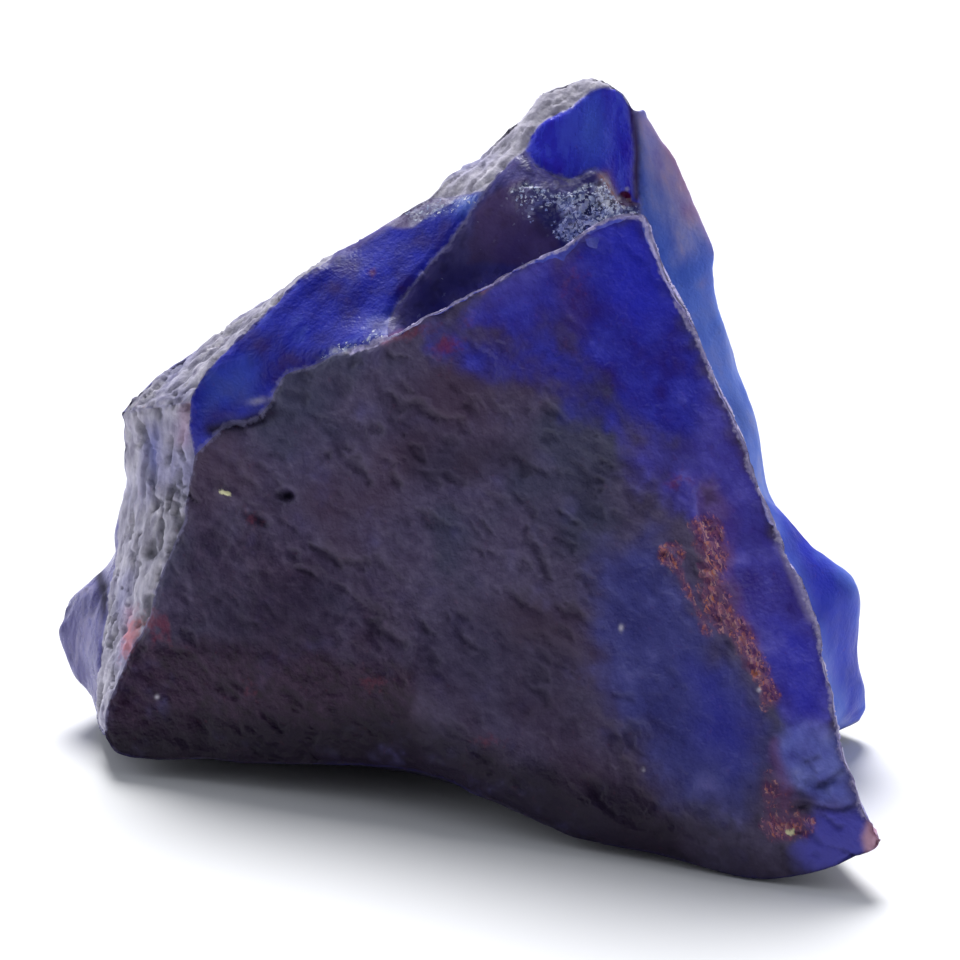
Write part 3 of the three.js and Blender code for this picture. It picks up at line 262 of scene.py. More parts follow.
def edges_of(F):
    half = np.concatenate([F[:, [0, 1]], F[:, [1, 2]], F[:, [2, 0]]])
    half.sort(axis=1)
    code = half[:, 0].astype(np.int64) * 4194304 + half[:, 1]
    uniq, inv = np.unique(code, return_inverse=True)
    inv = inv.reshape(-1)
    E = np.stack([uniq // 4194304, uniq % 4194304], 1)
    sides = np.argsort(inv, kind="stable") % len(F)
    assert len(sides) == 2 * len(E), "the skin is not closed"
    return E, inv.reshape(3, -1).T, sides.reshape(-1, 2)


def name_surfaces(V, F):
    """Which surface each triangle lies in: the nearest one along the skin, where crossing an arris costs a lot."""
    E, FE, EF = edges_of(F)
    wall = np.zeros(len(E), bool)
    mid = (V[E[:, 0]] + V[E[:, 1]]) / 2
    for text in ARRIS.values():
        line = run(text)
        d, dm = to_line(V, line)[0], to_line(mid, line)[0]
        wall |= (d[E[:, 0]] < 0.33) & (d[E[:, 1]] < 0.33) & (dm < 0.27)
    C = V[F].mean(1)
    N = np.cross(V[F[:, 1]] - V[F[:, 0]], V[F[:, 2]] - V[F[:, 0]])
    N /= np.linalg.norm(N, axis=1)[:, None]
    cost = np.linalg.norm(C[EF[:, 0]] - C[EF[:, 1]], axis=1) + 60.0 * wall
    cost += 1.5 * (1 - (N[EF[:, 0]] * N[EF[:, 1]]).sum(1))
    beside = [[] for _ in F]
    for e, (i, j) in enumerate(EF):
        beside[i].append((j, cost[e]))
        beside[j].append((i, cost[e]))
    heap, label = [], np.full(len(F), -1)
    for kind, points in INSIDE.items():
        for p in points:
            heapq.heappush(heap, (0.0, int(np.argmin(np.linalg.norm(C - np.array(p), axis=1))), KIND[kind]))
    while heap:
        d, i, k = heapq.heappop(heap)
        if label[i] >= 0:
            continue
        label[i] = k
        for j, w in beside[i]:
            if label[j] < 0:
                heapq.heappush(heap, (d + w, j, k))
    return label


def spread(n, rows, values):
    out = np.zeros((n, values.shape[1]))
    for k in range(values.shape[1]):
        out[:, k] = np.bincount(rows, values[:, k], n)
    return out


def loop_step(V, F, L):
    """One round of Loop subdivision that keeps the arrises."""
    E, FE, EF = edges_of(F)
    n = len(V)
    crease = L[EF[:, 0]] != L[EF[:, 1]]
    opposite = F[EF].sum(2) - E.sum(1)[:, None]
    mid = np.where(
        crease[:, None], (V[E[:, 0]] + V[E[:, 1]]) / 2,
        0.375 * (V[E[:, 0]] + V[E[:, 1]]) + 0.125 * (V[opposite[:, 0]] + V[opposite[:, 1]]),
    )
    both = np.concatenate([E, E[:, ::-1]])
    valence = np.bincount(both[:, 0], minlength=n)
    ring = spread(n, both[:, 0], V[both[:, 1]])
    beta = np.where(valence > 3, 3 / (8 * np.maximum(valence, 1)), 3 / 16)
    smooth = V * (1 - valence * beta)[:, None] + ring * beta[:, None]
    sharp = np.concatenate([E[crease], E[crease][:, ::-1]])
    count = np.bincount(sharp[:, 0], minlength=n)
    along = 0.75 * V + 0.125 * spread(n, sharp[:, 0], V[sharp[:, 1]])
    new = np.where((count == 2)[:, None], along, np.where((count == 0)[:, None], smooth, V))
    a, b, c = F.T
    ab, bc, ca = (FE + n).T
    F2 = np.concatenate([np.stack(t, 1) for t in ((a, ab, ca), (ab, b, bc), (ca, bc, c), (ab, bc, ca))])
    return np.concatenate([new, mid]), F2, np.tile(L, 4)


def halve(V, F, L, want, extra):
    """Halves the edges for which want(E, EF, length) holds; extra is a list of per-vertex arrays to carry along."""
    E, FE, EF = edges_of(F)
    length = np.linalg.norm(V[E[:, 0]] - V[E[:, 1]], axis=1)
    mark = want(E, EF, length)
    number = np.full(len(E), -1)
    number[mark] = len(V) + np.arange(mark.sum())
    V2 = np.concatenate([V, (V[E[mark, 0]] + V[E[mark, 1]]) / 2])
    extra2 = [np.concatenate([x, (x[E[mark, 0]] + x[E[mark, 1]]) / 2]) for x in extra]
    m = number[FE]
    parts, labels = [], []

    def put(rows, *triangles):
        for t in triangles:
            parts.append(np.stack(t, 1))
            labels.append(L[rows])

    has = m >= 0
    none = ~has.any(1)
    put(none, (F[none, 0], F[none, 1], F[none, 2]))
    full = has.all(1)
    a, b, c = F[full].T
    p, q, r = m[full].T
    put(full, (a, p, r), (p, b, q), (r, q, c), (p, q, r))
    for k in range(3):
        i, j, l = k, (k + 1) % 3, (k + 2) % 3
        one = has[:, i] & ~has[:, j] & ~has[:, l]
        a, b, c, p = F[one, i], F[one, j], F[one, l], m[one, i]
        put(one, (a, p, c), (p, b, c))
        two = has[:, i] & has[:, j] & ~has[:, l]
        a, b, c, p, q = F[two, i], F[two, j], F[two, l], m[two, i], m[two, j]
        short = np.linalg.norm(V2[a] - V2[q], axis=1) < np.linalg.norm(V2[p] - V2[c], axis=1)
        put(two, (p, b, q))
        rows = np.flatnonzero(two)
        s, o = short, ~short
        put(rows[s], (a[s], p[s], q[s]), (a[s], q[s], c[s]))
        put(rows[o], (a[o], p[o], c[o]), (p[o], q[o], c[o]))
    return V2, np.concatenate(parts), np.concatenate(labels), extra2


def normals(V, F):
    N = np.cross(V[F[:, 1]] - V[F[:, 0]], V[F[:, 2]] - V[F[:, 0]])
    out = spread(len(V), F.reshape(-1), np.repeat(N, 3, axis=0))
    return out / np.maximum(np.linalg.norm(out, axis=1), 1e-12)[:, None]


# ---- noise ----------------------------------------------------------------------------
TURN = np.array([[0.36, 0.48, -0.8], [-0.8, 0.6, 0.0], [0.48, 0.64, 0.6]])


def lattice(i, j, k, seed):
    h = (i * 374761393 + j * 668265263 + k * 1440662683 + seed * 1274126177) & 0xFFFFFFFF
    h = ((h ^ (h >> 13)) * 1274126177) & 0xFFFFFFFF
    return (h ^ (h >> 16)) / 4294967295.0


def noise(p, seed=0):
    """Smooth noise in about -1..1, with features one unit across."""
    total = 0.0
    for turn, s in ((None, seed), (TURN, seed + 57)):
        q = p if turn is None else p @ turn + 13.7
        c = np.floor(q).astype(np.int64)
        t = q - c
        t = t * t * t * (t * (t * 6 - 15) + 10)
        v = 0.0
        for d in range(8):
            x, y, z = d & 1, (d >> 1) & 1, (d >> 2) & 1
            w = (t[:, 0] if x else 1 - t[:, 0]) * (t[:, 1] if y else 1 - t[:, 1]) * (t[:, 2] if z else 1 - t[:, 2])
            v = v + w * lattice(c[:, 0] + x, c[:, 1] + y, c[:, 2] + z, s)
        total = total + v
    return (total - 1.0) * 1.5


def fbm(p, seed, octaves=3, gain=0.5):
    out, a, norm = 0.0, 1.0, 0.0
    for o in range(octaves):
        out = out + a * noise(p * 2.03 ** o + o * 7.3, seed + 13 * o)
        norm += a
        a *= gain
    return out / norm


def cells(p, seed):
    """Distance to the nearest and the second nearest scattered point, and a random number of the nearest."""
    c = np.floor(p).astype(np.int64)
    f1, f2, who = np.full(len(p), 9.0), np.full(len(p), 9.0), np.zeros(len(p))
    for dx in (-1, 0, 1):
        for dy in (-1, 0, 1):
            for dz in (-1, 0, 1):
                i, j, k = c[:, 0] + dx, c[:, 1] + dy, c[:, 2] + dz
                at = np.stack([i + lattice(i, j, k, seed), j + lattice(i, j, k, seed + 1), k + lattice(i, j, k, seed + 2)], 1)
                d = np.linalg.norm(at - p, axis=1)
                near = d < f1
                f2 = np.where(near, f1, np.minimum(f2, d))
                who = np.where(near, lattice(i, j, k, seed + 3), who)
                f1 = np.where(near, d, f1)
    return f1, f2, who


def step(lo, hi, x):
    t = np.clip((x - lo) / (hi - lo), 0, 1)
    return t * t * (3 - 2 * t)


# ---- the chart of the broad face --------------------------------------------------------
# Places on the broad face are given on a fixed chart, 960 units square: the picture of the
# stone on a plate 4000 units from this fixed point, across this fixed direction.
EYE = np.array([1.09528, -203.61286, 91.35582])
AHEAD, UP, RIGHT = np.array([0, 0.9397, -0.342]), np.array([0, 0.342, 0.9397]), np.array([1.0, 0, 0])


def chart(p):
    rel = p - EYE
    depth = rel @ AHEAD
    return np.stack([480 + 4000 * (rel @ RIGHT) / depth, 480 - 4000 * (rel @ UP) / depth], 1)


def inside(q, outline, feather):
    """1 well inside an outline on the chart, 0 well outside, with a soft edge."""
    poly = np.array(outline, float)
    d = np.full(len(q), 1e9)
    odd = np.zeros(len(q), bool)
    for a, b in zip(poly, np.roll(poly, -1, axis=0)):
        e = b - a
        t = np.clip(((q - a) @ e) / (e @ e), 0, 1)
        d = np.minimum(d, np.linalg.norm(q - (a + t[:, None] * e), axis=1))
        cross = (a[1] > q[:, 1]) != (b[1] > q[:, 1])
        at = a[0] + (q[:, 1] - a[1]) * (b[0] - a[0]) / (b[1] - a[1] if b[1] != a[1] else 1e-9)
        odd ^= cross & (q[:, 0] < at)
    return step(-feather, feather, np.where(odd, d, -d))


def spot(q, x, y, rx, ry=None, turn=0.0):
    """A soft round or oval spot; rx and ry are its radii, turned clockwise on the chart."""
    a = math.radians(turn)
    dx, dy = q[:, 0] - x, q[:, 1] - y
    u, v = dx * math.cos(a) + dy * math.sin(a), -dx * math.sin(a) + dy * math.cos(a)
    return np.exp(-((u / rx) ** 2 + (v / (ry or rx)) ** 2))


def stroke(q, points, width):
    d, s = to_line(q, np.array(points, float))
    return np.exp(-((d / width) ** 2))


V, F = welded(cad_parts[NODE].data)
L = name_surfaces(V, F)

# How much stone lies behind each point: the mean length of the ways inward.
tree = BVHTree.FromPolygons([tuple(p) for p in V], [tuple(int(i) for i in t) for t in F])
N0 = normals(V, F)
GOLD = math.pi * (3 - math.sqrt(5))
RAYS = []
for i in range(14):
    z = 1 - 0.55 * (i + 0.5) / 14
    RAYS.append((math.sqrt(1 - z * z) * math.cos(i * GOLD), math.sqrt(1 - z * z) * math.sin(i * GOLD), z))
deep = np.zeros((len(V), 1))
for i, (p, n) in enumerate(zip(V, N0)):
    n = Vector(-n)
    u = n.orthogonal().normalized()
    w = n.cross(u)
    start = Vector(p) + n * 0.02
    total = 0.0
    for x, y, z in RAYS:
        hit = tree.ray_cast(start, u * x + w * y + n * z, 60.0)
        total += min(hit[3] if hit[3] is not None else 0.0, 12.0)
    deep[i] = total / len(RAYS)

V0 = V.copy()
E0, FE0, EF0 = edges_of(F)
for rounds in range(2):
    E, FE, EF = edges_of(F)
    both = np.concatenate([E, E[:, ::-1]])
    if rounds == 0:
        for _ in range(2):  # evens out the depth before it is refined
            deep = 0.5 * deep + 0.5 * spread(len(V), both[:, 0], deep[both[:, 1]]) / np.bincount(both[:, 0])[:, None]
    deep = np.concatenate([deep, (deep[E[:, 0]] + deep[E[:, 1]]) / 2])
    V, F, L = loop_step(V, F, L)

SEEN = np.isin(np.arange(len(KINDS)), [KIND[k] for k in ("front", "band", "left_wall", "rind", "rind_top", "cleft", "summit")])
SIDE = np.isin(np.arange(len(KINDS)), [KIND[k] for k in ("fin_back", "moat", "flank", "left")])
REST = KIND["rest"]


def long_edge(E, EF, length):
    a, b = L[EF[:, 0]], L[EF[:, 1]]
    limit = np.where(SEEN[a] & SEEN[b], 0.25, np.where(SIDE[a] & SIDE[b], 0.4, 0.5))
    return length > limit


V, F, L, (deep,) = halve(V, F, L, long_edge, [deep])


def by_detail(E, EF, length):
    """Long edges where the smallest marks lie, and along the sharp arris over the broad face."""
    at = (V[E[:, 0]] + V[E[:, 1]]) / 2
    spot_at, N = chart(at), normals(V, F)
    near = to_line(at, run("RG10..RG28 RR0..RR8"))[0] < 0.3
    for x, y, r in ((157, 697, 5), (621, 628, 6), (759, 690, 5), (227, 493, 11), (791, 832, 12), (285, 495, 12), (625, 198, 14), (492, 281, 14), (555, 192, 36)):
        near |= np.hypot(spot_at[:, 0] - x, spot_at[:, 1] - y) < r
    return near & (((N[E[:, 0]] + N[E[:, 1]]) * (EYE - at)).sum(1) > 0) & (length > 0.12)


V, F, L, (deep,) = halve(V, F, L, by_detail, [deep])
print("skin", len(V), "points", len(F), "triangles")

# the low part of the moat looks like the flank
middle = V[F].mean(1)
L = np.where((L == KIND["moat"]) & (chart(middle)[:, 1] + 16 * fbm(middle / 1.2, 97, 2) > 240), KIND["flank"], L)

# ---- masks on the points ----------------------------------------------------------------
nV = len(V)
share = np.zeros((nV, len(KINDS)))  # the share of each kind of surface round a point
for k in range(len(KINDS)):
    share[:, k] = np.bincount(F[L == k].reshape(-1), minlength=nV)
share /= share.sum(1)[:, None]
on = {k: share[:, i] for k, i in KIND.items()}
N = normals(V, F)
q = chart(V)
lines = {k: to_line(V, run(t)) for k, t in ARRIS.items()}
edge = np.min([d for k, (d, s) in lines.items() if k != "under/rest"], axis=0)
shown = np.min([d for k, (d, s) in lines.items() if k.split("/")[0] in ("front", "left_wall", "rind", "band", "cleft", "summit") and "moat" not in k and "under" not in k], axis=0)
rim_top = to_line(V, run("RG10..RG28"))
rim_right = to_line(V, run("RG28 RR0..RR23"))
front = on["front"]
pale = on["left_wall"] + on["rind"] + on["rind_top"]
back = on["back_left"] + on["back_mid"] + on["back_right"]
wob = q + 9 * np.stack([fbm(V / 1.6, 3), fbm(V / 1.6, 4)], 1)

# the broad face: colour zones, made brighter as painted glow near the apex and on the right, where thin stone lets
# light through
# painted glow: the stone's hue brightened where the apex and the right-hand side are thin
blue_and_glow = 1.0 * inside(wob, [(556, 262), (600, 226), (640, 216), (662, 262), (694, 330), (708, 400), (690, 436), (662, 440), (630, 420), (596, 390), (570, 350), (540, 290)], 38)
blue_and_glow = np.maximum(blue_and_glow, 0.62 * inside(wob, [(420, 345), (470, 305), (560, 262), (620, 300), (640, 440), (600, 440), (540, 400), (470, 385)], 34))
violet_and_glow = inside(wob, [(660, 470), (706, 380), (748, 460), (780, 545), (812, 620), (832, 715), (800, 742), (772, 700), (742, 628), (716, 560), (684, 520)], 22)
violet_and_glow = np.maximum(violet_and_glow, 0.7 * inside(wob, [(610, 420), (700, 430), (720, 520), (668, 520), (620, 470)], 26))
violet_and_glow = np.maximum(violet_and_glow, 0.75 * inside(wob, [(452, 326), (486, 288), (520, 262), (556, 246), (574, 290), (544, 326), (500, 338)], 14))
glow = inside(wob, [(600, 560), (652, 530), (694, 610), (748, 690), (776, 760), (742, 800), (676, 800), (622, 720), (590, 630)], 42)
wisp = inside(wob, [(794, 724), (838, 730), (856, 800), (842, 806), (806, 800), (782, 788), (776, 748)], 20)
# reddish-brown tone of the lower left, also made darker as painted shade where the face turns down
brown_and_shade = inside(wob, [(96, 640), (200, 632), (330, 645), (416, 672), (420, 790), (100, 790)], 30)
brown_and_shade = np.maximum(brown_and_shade, 0.5 * inside(wob, [(180, 470), (240, 490), (330, 540), (420, 600), (440, 700), (130, 700), (150, 600)], 40))
# painted shade: the foot of the broad face darkened where it turns down over the shadowed floor
foot_shade = inside(wob, [(90, 722), (400, 712), (470, 742), (600, 782), (700, 818), (800, 846), (860, 850), (860, 900), (90, 900)], 34) * (1 - 0.5 * step(630, 740, q[:, 0]))
# seams of rust
main = to_line(q, np.array([(703, 530), (713, 556), (711, 592), (727, 620), (742, 640), (758, 668), (770, 697)], float))
second = to_line(q, np.array([(664, 551), (681, 574), (692, 600), (703, 620), (705, 634)], float))
clot = 0.8 * fbm(V / 0.9, 77, 2)
rust = np.maximum(1.2 - main[0] / (12 - 4 * main[1]) + clot, 0.35 - second[0] / 7 + clot)
rust = np.maximum(rust, 1.0 - np.hypot((q[:, 0] - 787) / 20, (q[:, 1] - 825) / 13) + 0.8 * clot)
rust = np.maximum(rust, 0.9 - np.abs(np.hypot((q[:, 0] - 671) / 10, (q[:, 1] - 555) / 9) - 1) / 0.45)
rust = np.maximum(rust, 0.4 - np.hypot((q[:, 0] - 768) / 16, (q[:, 1] - 790) / 28) + 0.7 * clot)
blot = wob + 10 * np.stack([fbm(V / 0.7, 23, 2), fbm(V / 0.7, 24, 2)], 1)
# how far behind the sharp right arris, seen from the front
rr = chart(np.array([WORLD[f"RR{i}"] for i in range(24)]))
hid = step(2, 34, np.interp(wob[:, 1], rr[:, 1], rr[:, 0]) - wob[:, 0])
hid = np.where(wob[:, 1] < rr[0, 1] - 4, 0, hid)
red = 0.55 * spot(blot, 674, 480, 13, 13) + 0.7 * spot(blot, 444, 343, 16, 11, -20) + 1.1 * spot(q, 131, 636, 6, 24, 16) + 0.95 * spot(blot, 159, 626, 8, 14)
red += 0.6 * spot(blot, 800, 828, 10, 8) + 0.35 * spot(blot, 779, 796, 8, 18)
red += 0.6 * spot(q, 253, 519, 12, 7, 30) + 0.3 * spot(blot, 577, 284, 11, 40, 8) + 0.5 * spot(q, 468, 320, 7, 9) + 0.4 * spot(q, 448, 352, 12, 18) + 0.5 * spot(q, 372, 273, 6, 5) * 2
red += 0.35 * spot(q, 250, 690, 12) + 0.5 * spot(q, 372, 682, 16, 10) + 0.5 * spot(q, 489, 741, 15, 9) + 0.8 * spot(q, 410, 330, 24, 10, -22)
grey_ring = stroke(wob, [(706, 534), (697, 514), (696, 494), (705, 480), (717, 478)], 4.5)
cream = (0.85 * spot(q, 227, 493, 7, 3.5, 15) + 0.75 * spot(q, 791, 832, 5, 5)) * front
pink = inside(q, [(868, 820), (890, 832), (884, 848), (866, 856), (862, 838)], 5)

paint_a = np.stack([blue_and_glow * front, violet_and_glow * front, glow * front, wisp * front], 1)
paint_b = np.stack([brown_and_shade * front, foot_shade * front, np.clip(red, 0, 1) * (front + on["band"] + pale > 0), np.clip(rust * 0.5 + 0.5, 0, 1) * front], 1)
# the crumbled ledge at the back of the cleft, and the crumbs at its mouth with painted glints
ledge = (inside(wob, [(548, 206), (566, 194), (590, 190), (606, 178), (618, 200), (640, 208), (640, 220), (566, 244), (554, 236)], 8) + 0.5 * inside(wob, [(505, 196), (530, 184), (560, 190), (560, 238), (540, 226), (522, 212)], 10)) * (on["cleft"] + on["moat"] > 0)
facing = step(-0.05, 0.15, ((EYE - V) * N).sum(1) / np.linalg.norm(EYE - V, axis=1))
shade = 0.92 * inside(q, [(534, 206), (556, 204), (562, 215), (560, 228), (546, 240), (532, 228)], 4) + 0.6 * spot(wob, 560, 183, 18, 7, 8) + 0.5 * stroke(q, [(560, 219), (580, 221), (600, 215)], 2.5) + 0.4 * stroke(q, [(572, 203), (590, 200)], 2.5)
ledge = np.clip(0.92 * np.clip(ledge, 0, 1) ** 1.4 * (1 - np.clip(shade, 0, 1)), 0, 1)
# a pale crest in the ledge, with painted glints along it
silver_and_glint = 0.9 * stroke(q, [(564, 214), (572, 210), (584, 207)], 2.2) + 0.8 * stroke(q, [(562, 229), (572, 224), (588, 221)], 2.0) + 0.7 * inside(wob, [(594, 182), (602, 178), (610, 196), (612, 206), (600, 204)], 4)
ledge = np.clip(ledge + 0.7 * silver_and_glint * facing * (on["cleft"] + on["moat"] > 0), 0, 1)
ledge = np.maximum(ledge, 0.45 * inside(wob, [(396, 212), (432, 202), (470, 190), (490, 190), (476, 204), (452, 214), (410, 220)], 7) * on["band"])
# painted highlight speckles along the ridge over the band
ledge = np.maximum(ledge, 0.7 * spot(q, 342, 350, 18, 5, -18) * (on["band"] + on["front"] > 0))
ledge = np.maximum(ledge, 0.5 * spot(q, 374, 337, 9, 4, -20) * (on["band"] + on["front"] > 0))
tone_ = fbm(V / 0.5, 81, 2)
ledge = np.maximum(ledge, 0.9 * stroke(q, [(514, 192), (525, 184), (543, 192), (564, 200), (573, 194), (596, 183)], 2.6) * step(-0.5, 0.1, tone_) * on["cleft"])
paint_c = np.stack([grey_ring * front, np.clip(cream, 0, 1), pink, ledge], 1)
frost = inside(wob, [(372, 232), (392, 212), (425, 196), (487, 182), (492, 188), (462, 196), (430, 214), (400, 230)], 5) * on["band"]
frost = np.maximum(frost, 0.5 * inside(wob, [(300, 262), (340, 246), (384, 222), (392, 232), (350, 258), (306, 276)], 7) * on["band"])
smear = stroke(wob, [(778, 746), (780, 776), (785, 806)], 9) + 0.8 * inside(wob, [(716, 536), (734, 550), (744, 596), (764, 650), (752, 656), (728, 616), (714, 576)], 9)
smear += 0.5 * inside(wob, [(690, 480), (712, 470), (734, 500), (738, 560), (712, 560), (694, 520)], 10)
umber = inside(wob, [(496, 190), (526, 186), (546, 224), (556, 254), (520, 266), (470, 258), (478, 216)], 10) * (on["cleft"] + on["moat"])
umber += 0.5 * inside(wob, [(545, 254), (574, 246), (592, 300), (584, 350), (562, 330), (552, 290)], 12) * front
maroon = 0.85 * stroke(q, [(631, 102), (637, 150), (637, 198)], 3.2)
bevel = inside(q, [(776, 546), (787, 552), (806, 580), (818, 624), (808, 622), (793, 584)], 3.5) * np.minimum(1, 2 * (on["fin_back"] + front))
near_rind = np.minimum(to_line(V, run(ARRIS["rind_top/back"]))[0], to_line(V, run(ARRIS["rind/back_left"]))[0])
rindback = step(1.9, 0.9, near_rind + 0.9 * fbm(V / 0.8, 85, 2)) * (back > 0)

# local tints: painted glow brightest at the apex, brown halo, garnet bead, orange wedge; darkened marks with painted
# shade, pinkish, painted light-blue glow, whitish with painted highlights
# painted glow: brightest at the thin apex, and at two places on the lower right
hot_glow = inside(wob, [(600, 232), (642, 220), (662, 262), (676, 310), (640, 330), (606, 300)], 20) * front
hot_glow = np.maximum(hot_glow, 0.4 * inside(wob, [(690, 670), (722, 672), (752, 730), (730, 770), (700, 740)], 26) * front)
hot_glow = np.maximum(hot_glow, 0.7 * inside(wob, [(772, 620), (808, 640), (822, 712), (800, 716), (780, 670)], 14) * front)
halo = np.clip(0.25 * grey_ring + 0.8 * inside(wob, [(696, 480), (712, 472), (726, 492), (728, 520), (714, 530), (700, 516)], 8), 0, 1) * front
bead = (spot(q, 625, 198, 7, 8) + 0.5 * spot(q, 636, 204, 7, 4)) * facing
wedge = 0.9 * stroke(q, [(605, 176), (611, 190), (618, 206)], 6) * facing
# darkened marks, mostly painted shade: crevices on the left facet, holes and grooves on the broad face, the groove end
# under the band, the cleft recess and the lower broad face, and spots on the band that dim a highlight; a few are real
# dark marks
dark_and_shade = 0.9 * stroke(q, [(99, 572), (104, 605), (109, 642)], 5) * on["left"] * facing
dark_and_shade += 0.7 * inside(q, [(241, 514), (256, 512), (266, 528), (250, 526)], 3) * front
dark_and_shade += 0.95 * stroke(q, [(212, 430), (240, 423), (272, 413)], 7) * (on["band"] + front) + 0.3 * spot(q, 741, 414, 12, 24, -12) * on["flank"]
dark_and_shade += 0.5 * stroke(wob, [(790, 806), (812, 806), (836, 810), (856, 805)], 3) * front
dark_and_shade += 0.6 * stroke(q, [(818, 786), (832, 778), (842, 771)], 4) * front + 0.5 * stroke(q, [(806, 762), (818, 757)], 3) * front
dark_and_shade += 0.5 * spot(q, 380, 326, 12, 8) * on["band"] + 0.4 * spot(q, 338, 260, 12, 6) * on["band"] + 0.14 * on["rind"] + 0.25 * inside(wob, [(650, 430), (694, 430), (700, 470), (660, 476)], 14) * front
dark_and_shade += 0.3 * inside(wob, [(440, 600), (560, 600), (590, 700), (480, 724), (430, 680)], 34) * front
dark_and_shade += 0.45 * inside(wob, [(400, 442), (530, 440), (540, 476), (410, 482)], 14) * front + 0.35 * inside(wob, [(200, 585), (330, 580), (330, 650), (205, 650)], 20) * front
dark_and_shade += 0.9 * spot(q, 285, 495, 7.5, 4.5, 8) * front + 0.6 * inside(wob, [(700, 486), (712, 482), (718, 498), (708, 506)], 5) * front
dark_and_shade += 0.4 * inside(wob, [(455, 225), (480, 230), (500, 262), (440, 310), (400, 326), (430, 260)], 16) * (on["cleft"] + on["moat"])
dark_and_shade += 0.5 * stroke(q, [(636, 100), (638, 150), (634, 196)], 3.5) * facing
dark_and_shade += 0.4 * np.clip(shade, 0, 1) * (on["cleft"] + on["moat"]) * facing
pinkish = 0.7 * stroke(q, [(382, 341), (392, 337), (402, 333)], 3) * facing + 0.8 * stroke(q, [(482, 290), (492, 280), (504, 272)], 3) * (front > 0)
pinkish += 0.6 * spot(q, 688, 212, 9, 15, -20) * on["flank"] + 0.5 * stroke(q, [(656, 118), (676, 160), (700, 212), (714, 248)], 6) * on["flank"]
pinkish += 0.35 * stroke(q, [(188, 404), (183, 440)], 8) * on["left_wall"] + 0.5 * stroke(q, [(130, 612), (127, 652)], 6) * on["left_wall"]
pinkish += 0.35 * inside(wob, [(640, 105), (668, 130), (690, 190), (672, 200), (648, 160)], 10) * on["flank"]
# painted glow: light-blue patches on the thin band tip, the flank near the rim and lobe, and the summit; a bluish patch
# on the left wall
sky_glow = 0.9 * spot(q, 470, 203, 16, 8, -30) * on["band"] + 0.3 * inside(wob, [(204, 372), (250, 360), (256, 396), (206, 412)], 16) * on["band"]
sky_glow += 0.7 * inside(wob, [(694, 236), (716, 240), (720, 300), (704, 308)], 10) * on["flank"]
sky_glow += 0.15 * inside(wob, [(822, 590), (856, 590), (858, 700), (828, 704)], 12) * on["flank"]
sky_glow += 0.5 * spot(q, 660, 240, 10, 16) * on["flank"]
sky_glow += 0.6 * spot(q, 152, 452, 8, 24) * on["left_wall"] + 0.5 * spot(q, 592, 128, 16, 42) * on["summit"]
# painted sheen along the crest
sheen = 0.4 * silver_and_glint * facing * (on["cleft"] + on["moat"])
# painted highlights: glints on the broad face, speckles along the ridge and the highlight on the garnet bead; also a
# paler tone on the rind top and the left wall
white_and_highlight = 0.9 * (spot(q, 157, 697, 2, 2) + spot(q, 621, 628, 2, 3) + spot(q, 759, 690, 2, 2) + 0.6 * spot(q, 643, 770, 1.6, 2)) * front
white_and_highlight += 0.3 * on["rind_top"] + 0.12 * on["left_wall"]
white_and_highlight += 0.45 * spot(q, 258, 401, 9, 3, -10) * facing + 0.5 * (spot(q, 334, 350, 4, 2) + spot(q, 346, 352, 4, 2)) * facing
white_and_highlight += 0.9 * (spot(q, 627, 189, 2, 1.5) + spot(q, 620, 198, 1.5, 1.5)) * facing
hollow = inside(wob, [(770, 500), (800, 520), (856, 590), (866, 640), (866, 720), (846, 726), (820, 640), (790, 560)], 16) * on["flank"]
top = inside(wob, [(620, 90), (668, 120), (704, 200), (716, 250), (676, 262), (650, 190)], 16) * on["flank"]
low = inside(wob, [(814, 806), (860, 806), (880, 836), (850, 874), (816, 878), (796, 846)], 24) * front
paint_d = np.clip(np.stack([hot_glow, halo, bead, wedge], 1), 0, 1)
paint_e = np.clip(np.stack([dark_and_shade, pinkish, sky_glow, white_and_highlight + sheen], 1), 0, 1)
# the fourth channel marks the underside, which gets painted shade
paint_g = np.clip(np.stack([hid * (on["flank"] + on["moat"]), frost, smear * front, np.minimum(1, on["under"] + on["rest"])], 1), 0, 1)
paint_h = np.clip(np.stack([maroon * facing, rindback, umber, bevel], 1), 0, 1)
paint_f = np.clip(np.stack([hollow, top, low, 0.5 + 0.34 * fbm(V / 1.5, 83, 4, 0.6)], 1), 0, 1)
smooth_zone = np.clip(blue_and_glow + violet_and_glow + 0.8 * glow + 0.5 * wisp, 0, 1)

# ---- relief -------------------------------------------------------------------------------
def unit(v):
    v = np.array(v, float)
    return v / np.linalg.norm(v)


def grain_frame(normal, along, stretch, fine=1.0):
    """Rows that turn a place into (along the grain, across it, out of the surface); along is shortened by stretch."""
    n = unit(normal)
    a = np.array(along, float)
    a = unit(a - n * (a @ n))
    return np.stack([a / stretch, np.cross(n, a), n]) * fine


FACE = unit((-0.341, -0.888, 0.309))
right = unit(np.cross((0, 0, 1), -FACE))
right = right if right[0] > 0 else -right
up = np.cross(right, -FACE)
up = up if up[2] > 0 else -up
dash = math.cos(math.radians(27)) * right - math.sin(math.radians(27)) * up
GRAIN = {k: np.eye(3) for k in KINDS}
GRAIN["front"] = grain_frame(FACE, dash, 2.4)
GRAIN["left_wall"] = grain_frame((-0.9, -0.4, 0.1), WORLD["LA12"] - WORLD["LA0"], 4.2)
GRAIN["rind"] = grain_frame((-0.5, -0.3, 0.8), WORLD["GC8"] - WORLD["GC0"], 2.0)
GRAIN["rind_top"] = grain_frame((-0.6, -0.4, 0.7), WORLD["GA12"] - WORLD["GA1"], 1.8)
GRAIN["band"] = grain_frame((0.2, -0.9, 0.4), WORLD["GC8"] - WORLD["GC0"], 2.6)
